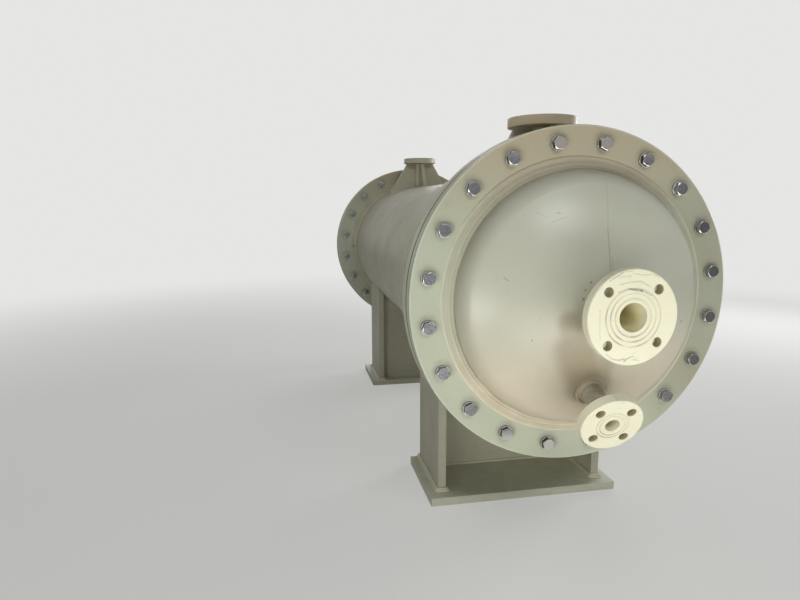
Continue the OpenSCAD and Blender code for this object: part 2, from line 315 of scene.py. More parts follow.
# %% Turned rings
inputs = {"Vector": None, "Pitch": 0.0012}
tree, ins, outs = new_group("turned_rings", inputs, ["Rings", "Distance"])
_, _, distance = round_axis(tree, ins["Vector"])
rings = noise_along(tree, calc(tree, "DIVIDE", distance, ins["Pitch"]))
turned_group = close_group(tree, outs, Rings=rings, Distance=distance)

# %% [markdown]
# ### Grime and shade
# Dust and grease stay where a hand or a rag can't reach: in the ring round a
# pipe's foot, and round each washer. Shade falls in the same kind of places:
# in grooves, in the valleys of a weld and in the knuckle of a dome. Shade left
# to the lamps would go when the light goes, and painted shade stays. This group
# puts a soft dark ring of a given radius and width round the Z axis, broken up
# by noise, and serves for grime and for painted shade.

# %% Rings of grime and painted shade
inputs = {"Vector": None, "Radius": 0.03, "Width": 0.01, "Patch Size": 0.02}
tree, ins, outs = new_group("grime_ring", inputs, ["Grime"])
_, _, distance = round_axis(tree, ins["Vector"])
off = calc(tree, "ABSOLUTE", calc(tree, "SUBTRACT", distance, ins["Radius"]))
near = between(tree, calc(tree, "DIVIDE", off, ins["Width"]), 1.0, 0.0)
broken = between(tree, noise(tree, ins["Vector"], ins["Patch Size"], detail=4.0), 0.30, 0.62)
grime_and_shade_group = close_group(tree, outs, Grime=times(tree, near, broken))

# %% [markdown]
# ### Halo round every bolt
# All the bolts of a flange stand on one circle at equal steps. Twenty rings of
# dirt and painted shadow would do, at twenty times the cost. The angle round
# the axis is folded instead, so that every bolt falls on the same spot, and
# one distance from that spot serves them all.

# %% Halos round the bolts
inputs = {"Vector": None, "Step": 18.0, "Circle": 0.31, "Washer": 0.017, "Halo": 0.012}
tree, ins, outs = new_group("bolt_halo", inputs, ["Halo"])
parts, _, distance = round_axis(tree, ins["Vector"])
angle = calc(tree, "DEGREES", calc(tree, "ARCTAN2", parts[1], parts[0]))
folded = calc(tree, "FLOORED_MODULO", angle, ins["Step"])
turn = calc(tree, "RADIANS", calc(tree, "SUBTRACT", folded, times(tree, ins["Step"], 0.5)))
side = times(tree, distance, calc(tree, "SINE", turn))
out = calc(tree, "SUBTRACT", times(tree, distance, calc(tree, "COSINE", turn)), ins["Circle"])
from_bolt = calc(tree, "SQRT", calc(tree, "ADD", times(tree, side, side), times(tree, out, out)))
gap = calc(tree, "SUBTRACT", from_bolt, ins["Washer"])
near = between(tree, calc(tree, "DIVIDE", gap, ins["Halo"]), 1.0, 0.0)
broken = between(tree, noise(tree, ins["Vector"], 0.018), 0.25, 0.65, 0.35, 1.0)
halo_group = close_group(tree, outs, Halo=times(tree, near, broken))

# %% [markdown]
# ### Dust on what faces up
# Dust settles on ledges and on the upper half of a round shell, and slides
# off what stands upright. The normal says which way a surface faces, so its
# upward part is the mask, and a noise makes the layer uneven.

# %% Settled dust
tree, ins, outs = new_group("settled_dust", {"Vector": None, "Amount": 0.5}, ["Dust"])
facing = apart(tree, put(tree, "NewGeometry").outputs["Normal"])[2]
upward = between(tree, facing, 0.25, 1.0)
layer = noise(tree, ins["Vector"], 0.035, detail=5.0, roughness=0.65)
uneven = between(tree, layer, 0.3, 0.7, 0.3, 1.0)
dust_group = close_group(tree, outs, Dust=times(tree, upward, uneven, ins["Amount"]))

# %% [markdown]
# ### Ripple of a weld
# A hand-laid plastic weld is pushed in as a rod of 4 mm. It freezes in small
# waves across the bead, one every few millimetres, and it is never quite
# even. The group gets the run along the bead in metres and gives the waves.

# %% Ripple of a bead
tree, ins, outs = new_group("bead_ripple", {"Run": 0.0, "Pitch": 0.004}, ["Ripple"])
shift = noise_along(tree, times(tree, ins["Run"], 60.0))
waves = calc(tree, "ADD", calc(tree, "DIVIDE", ins["Run"], ins["Pitch"]), times(tree, shift, 2.5))
wave = calc(tree, "SINE", times(tree, waves, math.tau))
ripple_group = close_group(tree, outs, Ripple=calc(tree, "MULTIPLY_ADD", wave, 0.5, 0.5))

# %% [markdown]
# ### A stroke of a pencil or a nail
# A handled face carries single marks that noise can't place: a pencil line,
# a cut, a slide. Each could be a thin piece of its own. Here a stroke is two
# ends and a width, and the mask is the distance from the line between them.

# %% One stroke
inputs = {"Vector": None, "Start": None, "End": None, "Width": 0.002}
tree, ins, outs = new_group("stroke", inputs, ["Stroke"])
run = on_vectors(tree, "SUBTRACT", ins["End"], ins["Start"])[0]
away = on_vectors(tree, "SUBTRACT", ins["Vector"], ins["Start"])[0]
dot = on_vectors(tree, "DOT_PRODUCT", away, run)["Value"]
whole = on_vectors(tree, "DOT_PRODUCT", run, run)["Value"]
share = put(tree, "Clamp", {"Value": calc(tree, "DIVIDE", dot, whole)}).outputs[0]
foot = put(tree, "VectorMath", {0: run, "Scale": share}, operation="SCALE").outputs[0]
gap = on_vectors(tree, "DISTANCE", away, foot)["Value"]
stroke_group = close_group(
    tree, outs, Stroke=between(tree, calc(tree, "DIVIDE", gap, ins["Width"]), 0.65, 0.25))

# %% [markdown]
# ## Coordinates for patterns
# A ring pattern has to sit on its own pipe's axis. Each node's mesh holds its
# place, so Object coordinates are the same as the room's. A Mapping node
# turns an axis onto Z and brings a face's middle to zero. The rear half
# mirrors the front one, so folding Y to the front lets one finish serve both
# ends.

# %% Coordinates on an axis
tree, ins, outs = new_group("fold_to_front", {"Vector": None}, ["Vector"])
parts = apart(tree, ins["Vector"])
front_y = times(tree, calc(tree, "ABSOLUTE", parts[1]), -1.0)
front = put(tree, "CombineXYZ", {0: parts[0], 1: front_y, 2: parts[2]}).outputs[0]
fold_group = close_group(tree, outs, Vector=front)


def on_axis(tree, vector, mount_name):
    """Coordinates with a mount's axis as Z and its place as zero."""
    mount = mounts[mount_name]
    turn = Vector(mount["axis"]).rotation_difference(Vector((0, 0, 1)))
    shift = -(turn @ Vector(mount["pos_m"]))
    upright = mount["axis"][2] > 0.9
    if not upright:
        vector = place(tree, fold_group, Vector=vector)["Vector"]
    sockets = {"Vector": vector, "Location": shift, "Rotation": turn.to_euler()}
    return put(tree, "Mapping", sockets).outputs[0]


def front_strokes(tree, vector, strokes):
    """All strokes of a list in one mask, on the front end only."""
    x, y, z = apart(tree, vector)
    flat = put(tree, "CombineXYZ", {0: x, 2: z}).outputs[0]
    drawn = 0.0
    for x0, z0, x1, z1, width, strength in strokes:
        ends = {"Start": (x0, 0, AXIS + z0), "End": (x1, 0, AXIS + z1)}
        stroke = place(tree, stroke_group, Vector=flat, Width=width, **ends)["Stroke"]
        drawn = calc(tree, "MAXIMUM", drawn, times(tree, stroke, strength))
    return times(tree, drawn, between(tree, y, 0.0, -0.01))


print("mounts to centre on:", len(mounts))

# %% [markdown]
# ## One way to start and close a material
# Every plastic here starts from the room's coordinates, grain and scratches,
# and ends the same way: a colour, a roughness and a height go into one
# Principled shader. Constant values stay on the shader's own sockets,
# because an export reads them there.

# %% Start and close a material
def new_material(name):
    """An empty material with its tree and the plain coordinates of a piece, in metres."""
    material = bpy.data.materials.new(name)
    material.use_nodes = True
    tree = material.node_tree
    tree.nodes.clear()
    return material, tree, put(tree, "TexCoord").outputs["Object"]


def grain_of(tree, here, patch_size, grain_size):
    """Patches and Grain of the shared group."""
    return place(tree, grain_group, Vector=here, Patch_Size=patch_size, Grain_Size=grain_size)


def grime_and_shade_of(tree, centred, radius, width, patch_size):
    """One soft dark ring round the Z axis, for grime and for painted shade."""
    values = {"Radius": radius, "Width": width, "Patch_Size": patch_size}
    return place(tree, grime_and_shade_group, Vector=centred, **values)["Grime"]


def scratches_of(tree, here, amount=0.6):
    """Scratches, as many as on a plate that was handled a lot."""
    return place(tree, scratch_group, Vector=here, Amount=amount)["Scratches"]


def dust_of(tree, here, amount=0.5):
    """Dust on what faces up."""
    return place(tree, dust_group, Vector=here, Amount=amount)["Dust"]


def two_heights(tree, first, share, second):
    """A height of which the first has this share and the second the rest."""
    return calc(tree, "ADD", times(tree, first, share), times(tree, second, 1 - share))


def close(material, colour, roughness, height, depth, metallic=0.0):
    """Feeds the shader. depth is the height's full relief in metres."""
    tree = material.node_tree
    bump = put(tree, "Bump", {"Strength": 1.0, "Distance": depth, "Height": height})
    shader = put(tree, "BsdfPrincipled", {
        "Base Color": colour, "Roughness": roughness,
        "Metallic": metallic, "Normal": bump.outputs[0],
    })
    tree.links.new(shader.outputs[0], put(tree, "OutputMaterial").inputs[0])
    print(material.name, "ready")
    return material


print("helpers for materials ready")

# %% [markdown]
# ## The dished heads
# Each end is a dome of sheet, softened in an oven and drawn over a former.
# It came out smooth, with a broad soft sheen, slightly greener high up and
# warmer and paler low down, where the colour is painted light thrown up from
# the ground. Around the nozzles there are grime, a painted shadow of the
# channel flange, a pencil line and burnt specks from the hot gun, and the
# knuckle carries painted shade. All of that is colour and roughness on the CAD
# dome, since nothing stands out from it.

# %% Marks on the front head
# Each is x and height over the axis at both ends, width and strength.
MARKS = [
    (0.027, 0.229, 0.0148, 0.142, 0.0030, 0.10),
    (0.0148, 0.142, 0.0150, 0.066, 0.0030, 0.26),
    (0.0202, 0.092, 0.0208, 0.068, 0.0026, 0.22),
    (-0.1795, 0.0559, -0.1725, 0.0505, 0.0022, 0.38),
    (-0.128, -0.0604, -0.1275, -0.062, 0.0030, 0.45),
    (-0.117, 0.1756, -0.098, 0.166, 0.0018, 0.2),
    (-0.0904, 0.1574, -0.0638, 0.1663, 0.0018, 0.2),
    (-0.079, 0.1745, -0.0735, 0.1730, 0.0028, 0.35),
    (0.1958, -0.042, 0.1975, -0.0428, 0.0034, 0.5),
    (-0.0223, 0.0482, -0.0240, 0.0468, 0.0030, 0.7),
    (-0.0336, 0.0340, -0.0350, 0.0325, 0.0028, 0.6),
    (-0.0369, 0.0178, -0.0388, 0.0158, 0.0032, 0.7),
    (-0.0190, -0.2501, -0.0115, -0.2490, 0.0040, 0.7),
    (-0.0080, -0.2555, -0.0045, -0.2640, 0.0040, 0.7),
]
# Painted shadow of the channel flange on the dome, with some grime: wide strokes below and left of
# its pipe, in the same columns.
SHADOW_AND_GRIME = [
    (-0.060, -0.030, -0.046, -0.080, 0.050, 0.45),
    (-0.046, -0.080, -0.014, -0.150, 0.085, 0.55),
    (0.010, -0.120, 0.004, -0.160, 0.060, 0.40),
]
print(len(MARKS), "marks and", len(SHADOW_AND_GRIME), "stains")

# %% Finish of the dished heads
KNUCKLE_R, KNUCKLE_W = 262 * MM, 36 * MM


def dish_dirt_and_shade(tree, here):
    """Dirt round the pipes' feet, and painted shade in the knuckle, stronger high up and at the
    right.
    """
    x, _, z = apart(tree, here)
    # Painted shade in the knuckle: stronger high up and at the right.
    above = between(tree, z, AXIS - 0.08, AXIS + 0.10, 0.12, 0.50)
    aside = between(tree, x, 0.10, 0.22, 0.0, 0.75)
    dirt = 0.0
    for mount_name, radius, width, patch_size, strength in (
        ("front_channel_bore", 0.034, 0.040, 0.05, 0.35),
        ("front_drain_bore", 0.030, 0.026, 0.03, 0.40),
        ("front_drain_bore", 0.033, 0.003, 0.02, 0.80),
        ("front_head_bolts", KNUCKLE_R, KNUCKLE_W, 0.5, calc(tree, "MAXIMUM", above, aside)),
    ):
        ring = grime_and_shade_of(tree, on_axis(tree, here, mount_name), radius, width, patch_size)
        dirt = calc(tree, "MAXIMUM", dirt, times(tree, ring, strength))
    return dirt


def dish_finish():
    """Greener and greyer high up, warmer and paler low down as painted light, with dirt, painted
    shade, painted shadow and marks.
    """
    material, tree, here = new_material("dish_plastic")
    grain = grain_of(tree, here, 0.13, 0.0016)
    scratches = scratches_of(tree, here, 0.55)
    # Warmer and paler low down: painted light thrown up from the ground.
    low = between(tree, apart(tree, here)[2], AXIS + 0.05, AXIS - 0.24)
    colour = layers(
        tree, paint(197, 199, 182),
        (low, 1, paint(224, 211, 187)),
        (grain["Patches"], 0.35, paint(188, 187, 167)),
        (dish_dirt_and_shade(tree, here), 1, paint(142, 132, 110)),
        (front_strokes(tree, here, SHADOW_AND_GRIME), 1, paint(150, 134, 102)),
        (scratches, 0.45, paint(150, 144, 126)),
        (front_strokes(tree, here, MARKS), 1, paint(66, 62, 52)),
    )
    sheen = calc(tree, "MULTIPLY_ADD", grain["Patches"], 0.06, 0.29)
    roughness = calc(tree, "ADD", sheen, times(tree, scratches, 0.2))
    return close(material, colour, roughness, grain["Grain"], 0.06 * MM)


dish_plastic = dish_finish()

# %% [markdown]
# ## The bolted flanges and the tube sheets
# These are thick plates, turned to a disc and drilled. Their faces keep the
# faint rings of the lathe, and they are greener than the drawn dome. Painted
# shade makes them brown high up and duller at the right, and every washer has
# a soft ring of dirt and painted shadow, set a little above it. Round the rim
# the plates meet in a dark line, a fainter dark line runs a little behind the
# face, and the front edge carries a painted highlight. Shared rings, grain and
# halos do most of it, and the lines are masks on the distance behind the face.

# %% Finish of the big flanges
JOINT_BACK, SECOND_LINE_BACK = 32 * MM, 9 * MM
HALO_UP, HALO_R, HALO_W = 6 * MM, 12.5 * MM, 14 * MM


def line_behind(tree, along, back, soft, hard):
    """A line round the rim at a distance behind the face."""
    return between(tree, calc(tree, "ABSOLUTE", calc(tree, "ADD", along, back)), soft, hard)


def flange_finish():
    """Turned plate with painted shade, brown high up and duller at the right, lines round its rim
    and a painted highlight on its front edge.
    """
    material, tree, here = new_material("flange_plastic")
    centred = on_axis(tree, here, "front_head_bolts")
    grain = grain_of(tree, here, 0.10, 0.0012)
    turned = place(tree, turned_group, Vector=centred, Pitch=0.0016)
    along = apart(tree, centred)[2]
    # A painted highlight along the front edge of the rim.
    at_rim = between(tree, turned["Distance"], GIRTH_R - 4.0 * MM, GIRTH_R - 1.5 * MM)
    edge = times(tree, at_rim, between(tree, along, -3.0 * MM, -1.0 * MM))
    joint = line_behind(tree, along, JOINT_BACK, 5.5 * MM, 3.0 * MM)
    # A second, fainter dark line round the rim, a little behind the face.
    cut = line_behind(tree, along, SECOND_LINE_BACK, 3.0 * MM, 1.0 * MM)
    # The halo is dirt and painted shadow, lifted so that most of it lies above each washer.
    raised = on_vectors(tree, "SUBTRACT", centred, (0.0, HALO_UP, 0.0))[0]
    bolts = {"Step": 360 / BOLTS, "Circle": BOLT_CIRCLE, "Washer": HALO_R, "Halo": HALO_W}
    halo = place(tree, halo_group, Vector=raised, **bolts)["Halo"]
    # Painted shade: brown high up, and duller at the right with brown patches.
    x, _, z = apart(tree, here)
    brown = between(tree, noise(tree, here, 0.09), 0.42, 0.62)
    shaded_right = blend(tree, brown, paint(158, 160, 142), paint(158, 148, 124))
    colour = layers(
        tree, paint(190, 196, 174),
        (between(tree, z, AXIS + 0.10, AXIS + 0.34), 1, paint(186, 172, 144)),
        (between(tree, x, 0.12, 0.30), 0.65, shaded_right),
        (grain["Patches"], 0.30, paint(178, 181, 158)),
        (halo, 0.40, paint(124, 123, 104)),
        (scratches_of(tree, here), 0.4, paint(150, 148, 128)),
        (dust_of(tree, here), 1, paint(176, 168, 148)),
        (edge, 0.55, paint(224, 226, 206)),
        (joint, 0.85, paint(66, 63, 54)),
        (cut, 0.45, paint(92, 88, 74)),
    )
    roughness = calc(tree, "MULTIPLY_ADD", grain["Patches"], 0.08, 0.44)
    height = two_heights(tree, turned["Rings"], 0.6, grain["Grain"])
    return close(material, colour, roughness, height, 0.08 * MM)


flange_plastic = flange_finish()

# %% [markdown]
# ## The small nozzle flanges
# The flanges on the pipes are paler and creamier: fresh cuts of new sheet.
# Their faces show rings from the lathe, and above and below the sealing
# rings there are wavy grey rubs where something slid over the face. Small
# ones are contour lines of a stretched noise, kept to the outer part of the
# face. The long ones on the big flange are strokes, each with its two ends.

# %% Wavy rubs
tree, ins, outs = new_group("wavy_rubs", {"Vector": None, "Inner": 0.052}, ["Rubs"])
parts, flat, distance = round_axis(tree, ins["Vector"])
squeezed = put(tree, "Mapping", {"Vector": flat, "Scale": (20.0, 62.0, 1.0)}).outputs[0]
hills = noise(tree, squeezed, 1.0, detail=1.0, distortion=0.4)
contours = between(tree, calc(tree, "PINGPONG", times(tree, hills, 6.0), 0.5), 0.12, 0.03)
height = calc(tree, "ABSOLUTE", parts[1])
upright = calc(tree, "DIVIDE", height, calc(tree, "MAXIMUM", distance, 1 * MM))
far_out = between(tree, distance, ins["Inner"], calc(tree, "ADD", ins["Inner"], 6 * MM))
zone = times(tree, far_out, between(tree, upright, 0.50, 0.85))
some = between(tree, noise(tree, flat, 0.035), 0.42, 0.62)
rub_group = close_group(tree, outs, Rubs=times(tree, contours, zone, some))

# %% Slides on the channel flange
# Each is x and height over the axis at both ends, width and strength.
SLIDES = [
    (-0.047, 0.063, -0.024, 0.077, 0.0026, 0.55),
    (-0.024, 0.077, -0.007, 0.080, 0.0024, 0.40),
    (-0.007, 0.076, 0.013, 0.071, 0.0026, 0.30),
    (0.013, 0.071, 0.028, 0.072, 0.0024, 0.28),
    (-0.028, 0.057, -0.011, 0.062, 0.0026, 0.34),
    (-0.011, 0.062, 0.011, 0.061, 0.0028, 0.28),
    (0.011, 0.061, 0.028, 0.054, 0.0026, 0.34),
    (-0.031, 0.069, -0.010, 0.071, 0.0044, 0.16),
    (-0.012, 0.050, 0.014, 0.046, 0.0044, 0.80),
    (-0.030, 0.044, -0.012, 0.050, 0.0034, 0.42),
    (0.014, 0.046, 0.032, 0.037, 0.0034, 0.42),
    (-0.037, -0.069, -0.025, -0.073, 0.0028, 0.40),
    (-0.025, -0.073, -0.013, -0.071, 0.0032, 0.52),
    (-0.013, -0.075, -0.003, -0.069, 0.0032, 0.52),
    (-0.003, -0.069, 0.004, -0.068, 0.0028, 0.40),
    (0.003, -0.075, 0.015, -0.076, 0.0028, 0.28),
    (-0.047, -0.062, -0.036, -0.068, 0.0028, 0.28),
    (-0.063, 0.015, -0.062, -0.017, 0.0024, 0.20),
    (-0.062, -0.017, -0.059, -0.037, 0.0024, 0.20),
    (0.033, 0.072, 0.044, 0.067, 0.0036, 0.20),
]


def slid_over(tree, here, slides):
    """The slides, with their lines pushed about by noise and faded in places."""
    wavy = put(tree, "TexNoise", {"Vector": here, "Scale": 45.0, "Detail": 1.0}).outputs["Color"]
    pushed = on_vectors(tree, "MULTIPLY_ADD", wavy, [6 * MM] * 3, here)[0]
    pushed = on_vectors(tree, "SUBTRACT", pushed, [3 * MM] * 3)[0]
    faded = between(tree, noise(tree, here, 0.010), 0.30, 0.60, 0.55, 1.0)
    return times(tree, front_strokes(tree, pushed, slides), faded)


print(len(SLIDES), "slides")

# %% Finish of the nozzle flanges
GROOVE_W = 2.2 * MM


def nozzle_finish(name, mount_name, rim, tones, rubbed_from, rub_share, grooves, dusty, slides=()):
    """rim and grooves are radii, and the face is rubbed outside the radius rubbed_from."""
    pale, dull = tones
    material, tree, here = new_material(name)
    centred = on_axis(tree, here, mount_name)
    grain = grain_of(tree, here, 0.05, 0.0010)
    turned = place(tree, turned_group, Vector=centred, Pitch=0.0011)
    rubs = place(tree, rub_group, Vector=centred, Inner=rubbed_from)["Rubs"]
    # Dirt and painted shade in the grooves, the shade stronger on one side of the face.
    leaning = on_vectors(tree, "DOT_PRODUCT", centred, (-0.5, -0.85, 0.0))["Value"]
    groove_shade_share = between(tree, leaning, -20 * MM, 40 * MM, 0.20, 0.70)
    # Painted shade on what lies below the face inside the rim, such as the bolt holes.
    inside_rim = between(tree, turned["Distance"], rim - 2 * MM, rim - 4 * MM)
    hole_shade = times(tree, inside_rim, between(tree, apart(tree, centred)[2], -0.8 * MM, -2.5 * MM))
    in_grooves = [grime_and_shade_of(tree, centred, radius, GROOVE_W, 0.04) for radius in grooves]
    slid = [slid_over(tree, here, slides)] if slides else []
    colour = layers(
        tree, pale,
        (grain["Patches"], 0.4, dull),
        (rubs, rub_share, paint(150, 148, 132)),
        *[(mask, 1, paint(132, 132, 122)) for mask in slid],
        *[(mask, groove_shade_share, paint(140, 132, 108)) for mask in in_grooves],
        (scratches_of(tree, here, 0.5), 0.4, paint(178, 172, 150)),
        (dust_of(tree, here, dusty), 1, paint(170, 154, 128)),
        (hole_shade, 0.85, paint(168, 156, 122)),
    )
    roughness = calc(tree, "MULTIPLY_ADD", grain["Patches"], 0.08, 0.42)
    height = two_heights(tree, turned["Rings"], 0.6, grain["Grain"])
    return close(material, colour, roughness, height, 0.10 * MM)


CREAM = paint(246, 244, 217), paint(238, 232, 204)
TAN = paint(208, 194, 164), paint(192, 178, 148)
GREYER = paint(200, 193, 170), paint(184, 177, 154)
channel_plastic = nozzle_finish(
    "channel_plastic", "front_channel_bolts", rim=83.5 * MM, tones=CREAM, rubbed_from=52 * MM,
    rub_share=0.15, grooves=(50.5 * MM, 42 * MM, 33.5 * MM), dusty=0.15, slides=SLIDES)
drain_plastic = nozzle_finish(
    "drain_plastic", "front_drain_bolts", rim=59 * MM, tones=CREAM, rubbed_from=34 * MM,
    rub_share=0.15, grooves=(29.5 * MM, 23.5 * MM), dusty=0.10)
inlet_plastic = nozzle_finish(
    "inlet_plastic", "inlet_bolts", rim=76.5 * MM, tones=TAN, rubbed_from=50 * MM,
    rub_share=0.35, grooves=(40.5 * MM,), dusty=0.75)
outlet_plastic = nozzle_finish(
    "outlet_plastic", "outlet_bolts", rim=67 * MM, tones=GREYER, rubbed_from=44 * MM,
    rub_share=0.35, grooves=(35.5 * MM,), dusty=0.75)

# %% [markdown]
# ## Shell, gussets and saddles
# The shell is one length of thick pipe, and the gussets, band and saddles are
# sawn plate in the same grey beige. Pipe shows faint lines along its run from
# the die, and plate shows saw marks at its edges. One builder makes both,
# with the direction and the tone of the marks as its values.

# %% Finish of pipe and plate
DIE_LINES, SAW_MARKS = (420.0, 5.0, 420.0), (9.0, 9.0, 500.0)
DUST = paint(172, 164, 144)


def stock_finish(name, tones, stretch, dust_amount, dust_and_light_tone=DUST):
    """tones are the clean, the dull and the dirty one, and stretch says how the marks run."""
    tone, dull, dirt = (paint(*read) for read in tones)
    material, tree, here = new_material(name)
    grain = grain_of(tree, here, 0.12, 0.0014)
    drawn = put(tree, "Mapping", {"Vector": here, "Scale": stretch}).outputs[0]
    lines = noise(tree, drawn, 1.0, detail=2.0)
    stains = between(tree, noise(tree, here, 0.06, detail=6.0, roughness=0.7), 0.58, 0.72)
    colour = layers(
        tree, tone,
        (grain["Patches"], 0.45, dull),
        (between(tree, lines, 0.45, 0.75), 0.18, dirt),
        (stains, 0.22, dirt),
        (scratches_of(tree, here), 0.4, dirt),
        (dust_of(tree, here, dust_amount), 1, dust_and_light_tone),
    )
    roughness = calc(tree, "MULTIPLY_ADD", grain["Patches"], 0.10, 0.42)
    height = two_heights(tree, lines, 0.5, grain["Grain"])
    return close(material, colour, roughness, height, 0.08 * MM)


shell_plastic = stock_finish(
    "shell_plastic", ((190, 188, 168), (176, 174, 155), (140, 134, 114)), DIE_LINES, 0.45)
plate_plastic = stock_finish(
    "plate_plastic", ((180, 178, 158), (165, 163, 144), (128, 122, 102)), SAW_MARKS, 0.40)
# The foot's pale dust on what faces up is also painted light, which lightens its top where it lies
# in the unit's shadow.
foot_plastic = stock_finish(
    "foot_plastic", ((192, 192, 174), (180, 180, 162), (140, 136, 118)), SAW_MARKS, 0.7,
    dust_and_light_tone=paint(210, 212, 196))
gusset_plastic = stock_finish(
    "gusset_plastic", ((188, 184, 162), (174, 170, 148), (136, 128, 106)), SAW_MARKS, 0.40)
tube_plastic = stock_finish(
    "tube_plastic", ((214, 210, 190), (200, 196, 174), (160, 152, 130)), DIE_LINES, 0.10)

# %% [markdown]
# ## The pipes of the nozzles
# A pipe ends level with its flange's face, where it was turned clean with
# it, so its end has the flange's cream. Behind the flange nobody wipes it.
# The drain's pipe is the darkest: dirty, and with painted shadow of the channel
# flange above it, and its bore is darker with painted shade. The distance from
# the face along the pipe's own axis tells the clean end from the dirty run.

# %% Finish of the pipes
RIB_PITCH = 3 * MM


def neck_finish(name, mount_name, bore_r, dirt_and_shadow_share, bore_tone=paint(250, 242, 204)):
    """Clean at its face and in its bore, worn and ribbed behind."""
    material, tree, here = new_material(name)
    centred = on_axis(tree, here, mount_name)
    grain = grain_of(tree, here, 0.03, 0.0010)
    turned = place(tree, turned_group, Vector=centred, Pitch=0.0011)
    along = apart(tree, centred)[2]
    behind = between(tree, along, -3 * MM, -30 * MM)
    patchy = noise(tree, here, 0.014, detail=5.0, roughness=0.65)
    smears = between(tree, patchy, 0.25, 0.62, 0.62, 1.0)
    ribs = noise_along(tree, calc(tree, "DIVIDE", along, RIB_PITCH), detail=1.0)
    ribs = between(tree, ribs, 0.40, 0.62)
    inside = between(tree, turned["Distance"], bore_r + 0.8 * MM, bore_r + 0.2 * MM)
    outside = calc(tree, "SUBTRACT", 1.0, times(tree, inside, 0.8))
    # The worn part is dirt, and on the drain's pipe painted shadow as well.
    wear_and_painted_light = times(tree, smears, behind, outside, dirt_and_shadow_share)
    colour = layers(
        tree, paint(244, 242, 215),
        (grain["Patches"], 0.4, paint(236, 230, 202)),
        (inside, behind, bore_tone),
        (wear_and_painted_light, 1, paint(168, 163, 144)),
        (times(tree, ribs, wear_and_painted_light), 0.22, paint(96, 90, 74)),
        (scratches_of(tree, here), 0.4, paint(170, 162, 138)),
    )
    roughness = calc(tree, "MULTIPLY_ADD", wear_and_painted_light, 0.20, 0.42)
    height = two_heights(tree, turned["Rings"], 0.4, grain["Grain"])
    return close(material, colour, roughness, height, 0.10 * MM)


channel_neck_plastic = neck_finish("channel_neck_plastic", "front_channel_bolts", 25.7 * MM, 0.55)
# Painted shadow on the drain's pipe, and painted shade in its bore.
drain_neck_plastic = neck_finish(
    "drain_neck_plastic", "front_drain_bolts", 14.0 * MM, 0.9, bore_tone=paint(190, 178, 146))
inlet_neck_plastic = neck_finish("inlet_neck_plastic", "inlet_bolts", 20.4 * MM, 0.5)
outlet_neck_plastic = neck_finish("outlet_neck_plastic", "outlet_bolts", 16.3 * MM, 0.5)

# %% [markdown]
# ## Weld beads
# Every joint is closed by rods of the same plastic, melted in by a hot gun.
# A bead is a touch glossier and paler on its ridge than the plate, with dirt
# and painted shade in the valleys between the runs. Pieces that are laid along
# a path carry their run in a UV map. The big weld of a head is a ring, so its
# run is worked out from the angle round the axis, and its valleys from the
# distance to it.

# %% Finish of the beads
def bead_finish(name, tone, dull):
    """One laid rod, with its ripple and some dust."""
    material, tree, here = new_material(name)
    run = apart(tree, put(tree, "UVMap", uv_map="run").outputs[0])[0]
    ripple = place(tree, ripple_group, Run=run, Pitch=0.0042)["Ripple"]
    grain = grain_of(tree, here, 0.05, 0.0012)
    colour = layers(
        tree, tone,
        (grain["Patches"], 0.5, dull),
        (ripple, 0.08, paint(150, 144, 122)),
        (dust_of(tree, here), 1, paint(176, 168, 146)),
    )
    roughness = calc(tree, "MULTIPLY_ADD", grain["Patches"], 0.10, 0.34)
    height = two_heights(tree, ripple, 0.8, grain["Grain"])
    return close(material, colour, roughness, height, 0.22 * MM)


bead_plastic = bead_finish("bead_plastic", paint(200, 196, 174), paint(182, 178, 156))
drain_bead_plastic = bead_finish("drain_bead_plastic", paint(192, 180, 154), paint(156, 142, 116))

# %% Finish of the big welds
# Each valley is its radius and the strength of its dirt and painted shade.
VALLEYS = ((275.5 * MM, 0.20), (263.5 * MM, 0.40), (257.2 * MM, 0.75))
VALLEY_W, RUN_R = 3 * MM, 270 * MM


def rim_weld_finish():
    """Cream on the ridges, paler low down as painted light, dirt and painted shade in each valley,
    and brown dust and painted shade high up.
    """
    material, tree, here = new_material("rim_weld_plastic")
    centred = on_axis(tree, here, "front_head_bolts")
    x, y, _ = apart(tree, centred)
    run = times(tree, calc(tree, "ARCTAN2", y, x), RUN_R)
    ripple = place(tree, ripple_group, Run=run, Pitch=0.0060)["Ripple"]
    grain = grain_of(tree, here, 0.05, 0.0012)
    distance = place(tree, turned_group, Vector=centred, Pitch=0.002)["Distance"]
    outer = between(tree, distance, 276 * MM, 282 * MM)
    # Paler low down: painted light thrown up from the ground.
    low = between(tree, y, -0.02, -0.20)
    inner_tone = blend(tree, low, paint(188, 189, 166), paint(221, 211, 186))
    outer_tone = blend(tree, low, paint(204, 207, 184), paint(215, 214, 192))
    valleys = [grime_and_shade_of(tree, centred, radius, VALLEY_W, 0.06) for radius, _ in VALLEYS]
    # Brown high up is dust and painted shade.
    colour = layers(
        tree, inner_tone,
        (outer, 1, outer_tone),
        (between(tree, y, 0.12, 0.26), 1, paint(178, 168, 144)),
        *[(mask, row[1], paint(142, 134, 112)) for mask, row in zip(valleys, VALLEYS)],
        (grain["Patches"], 0.25, paint(184, 178, 154)),
    )
    roughness = calc(tree, "MULTIPLY_ADD", grain["Patches"], 0.10, 0.36)
    height = two_heights(tree, ripple, 0.6, grain["Grain"])
    return close(material, colour, roughness, height, 0.16 * MM)


rim_weld_plastic = rim_weld_finish()

# %% [markdown]
# ## Steel and rubber
# The bolts are bright stainless steel with rough forged tops. What they
# mirror makes each one look different, and that is painted into their colour
# as painted reflection: dark at the right, paler at the top and the bottom of
# the circle, bright on cut corners that face down and dark on the sides. The
# gasket is black sheet rubber, dusty grey where it shows between the plates.
# Which way a face points tells the tops from the cut corners and the sides.

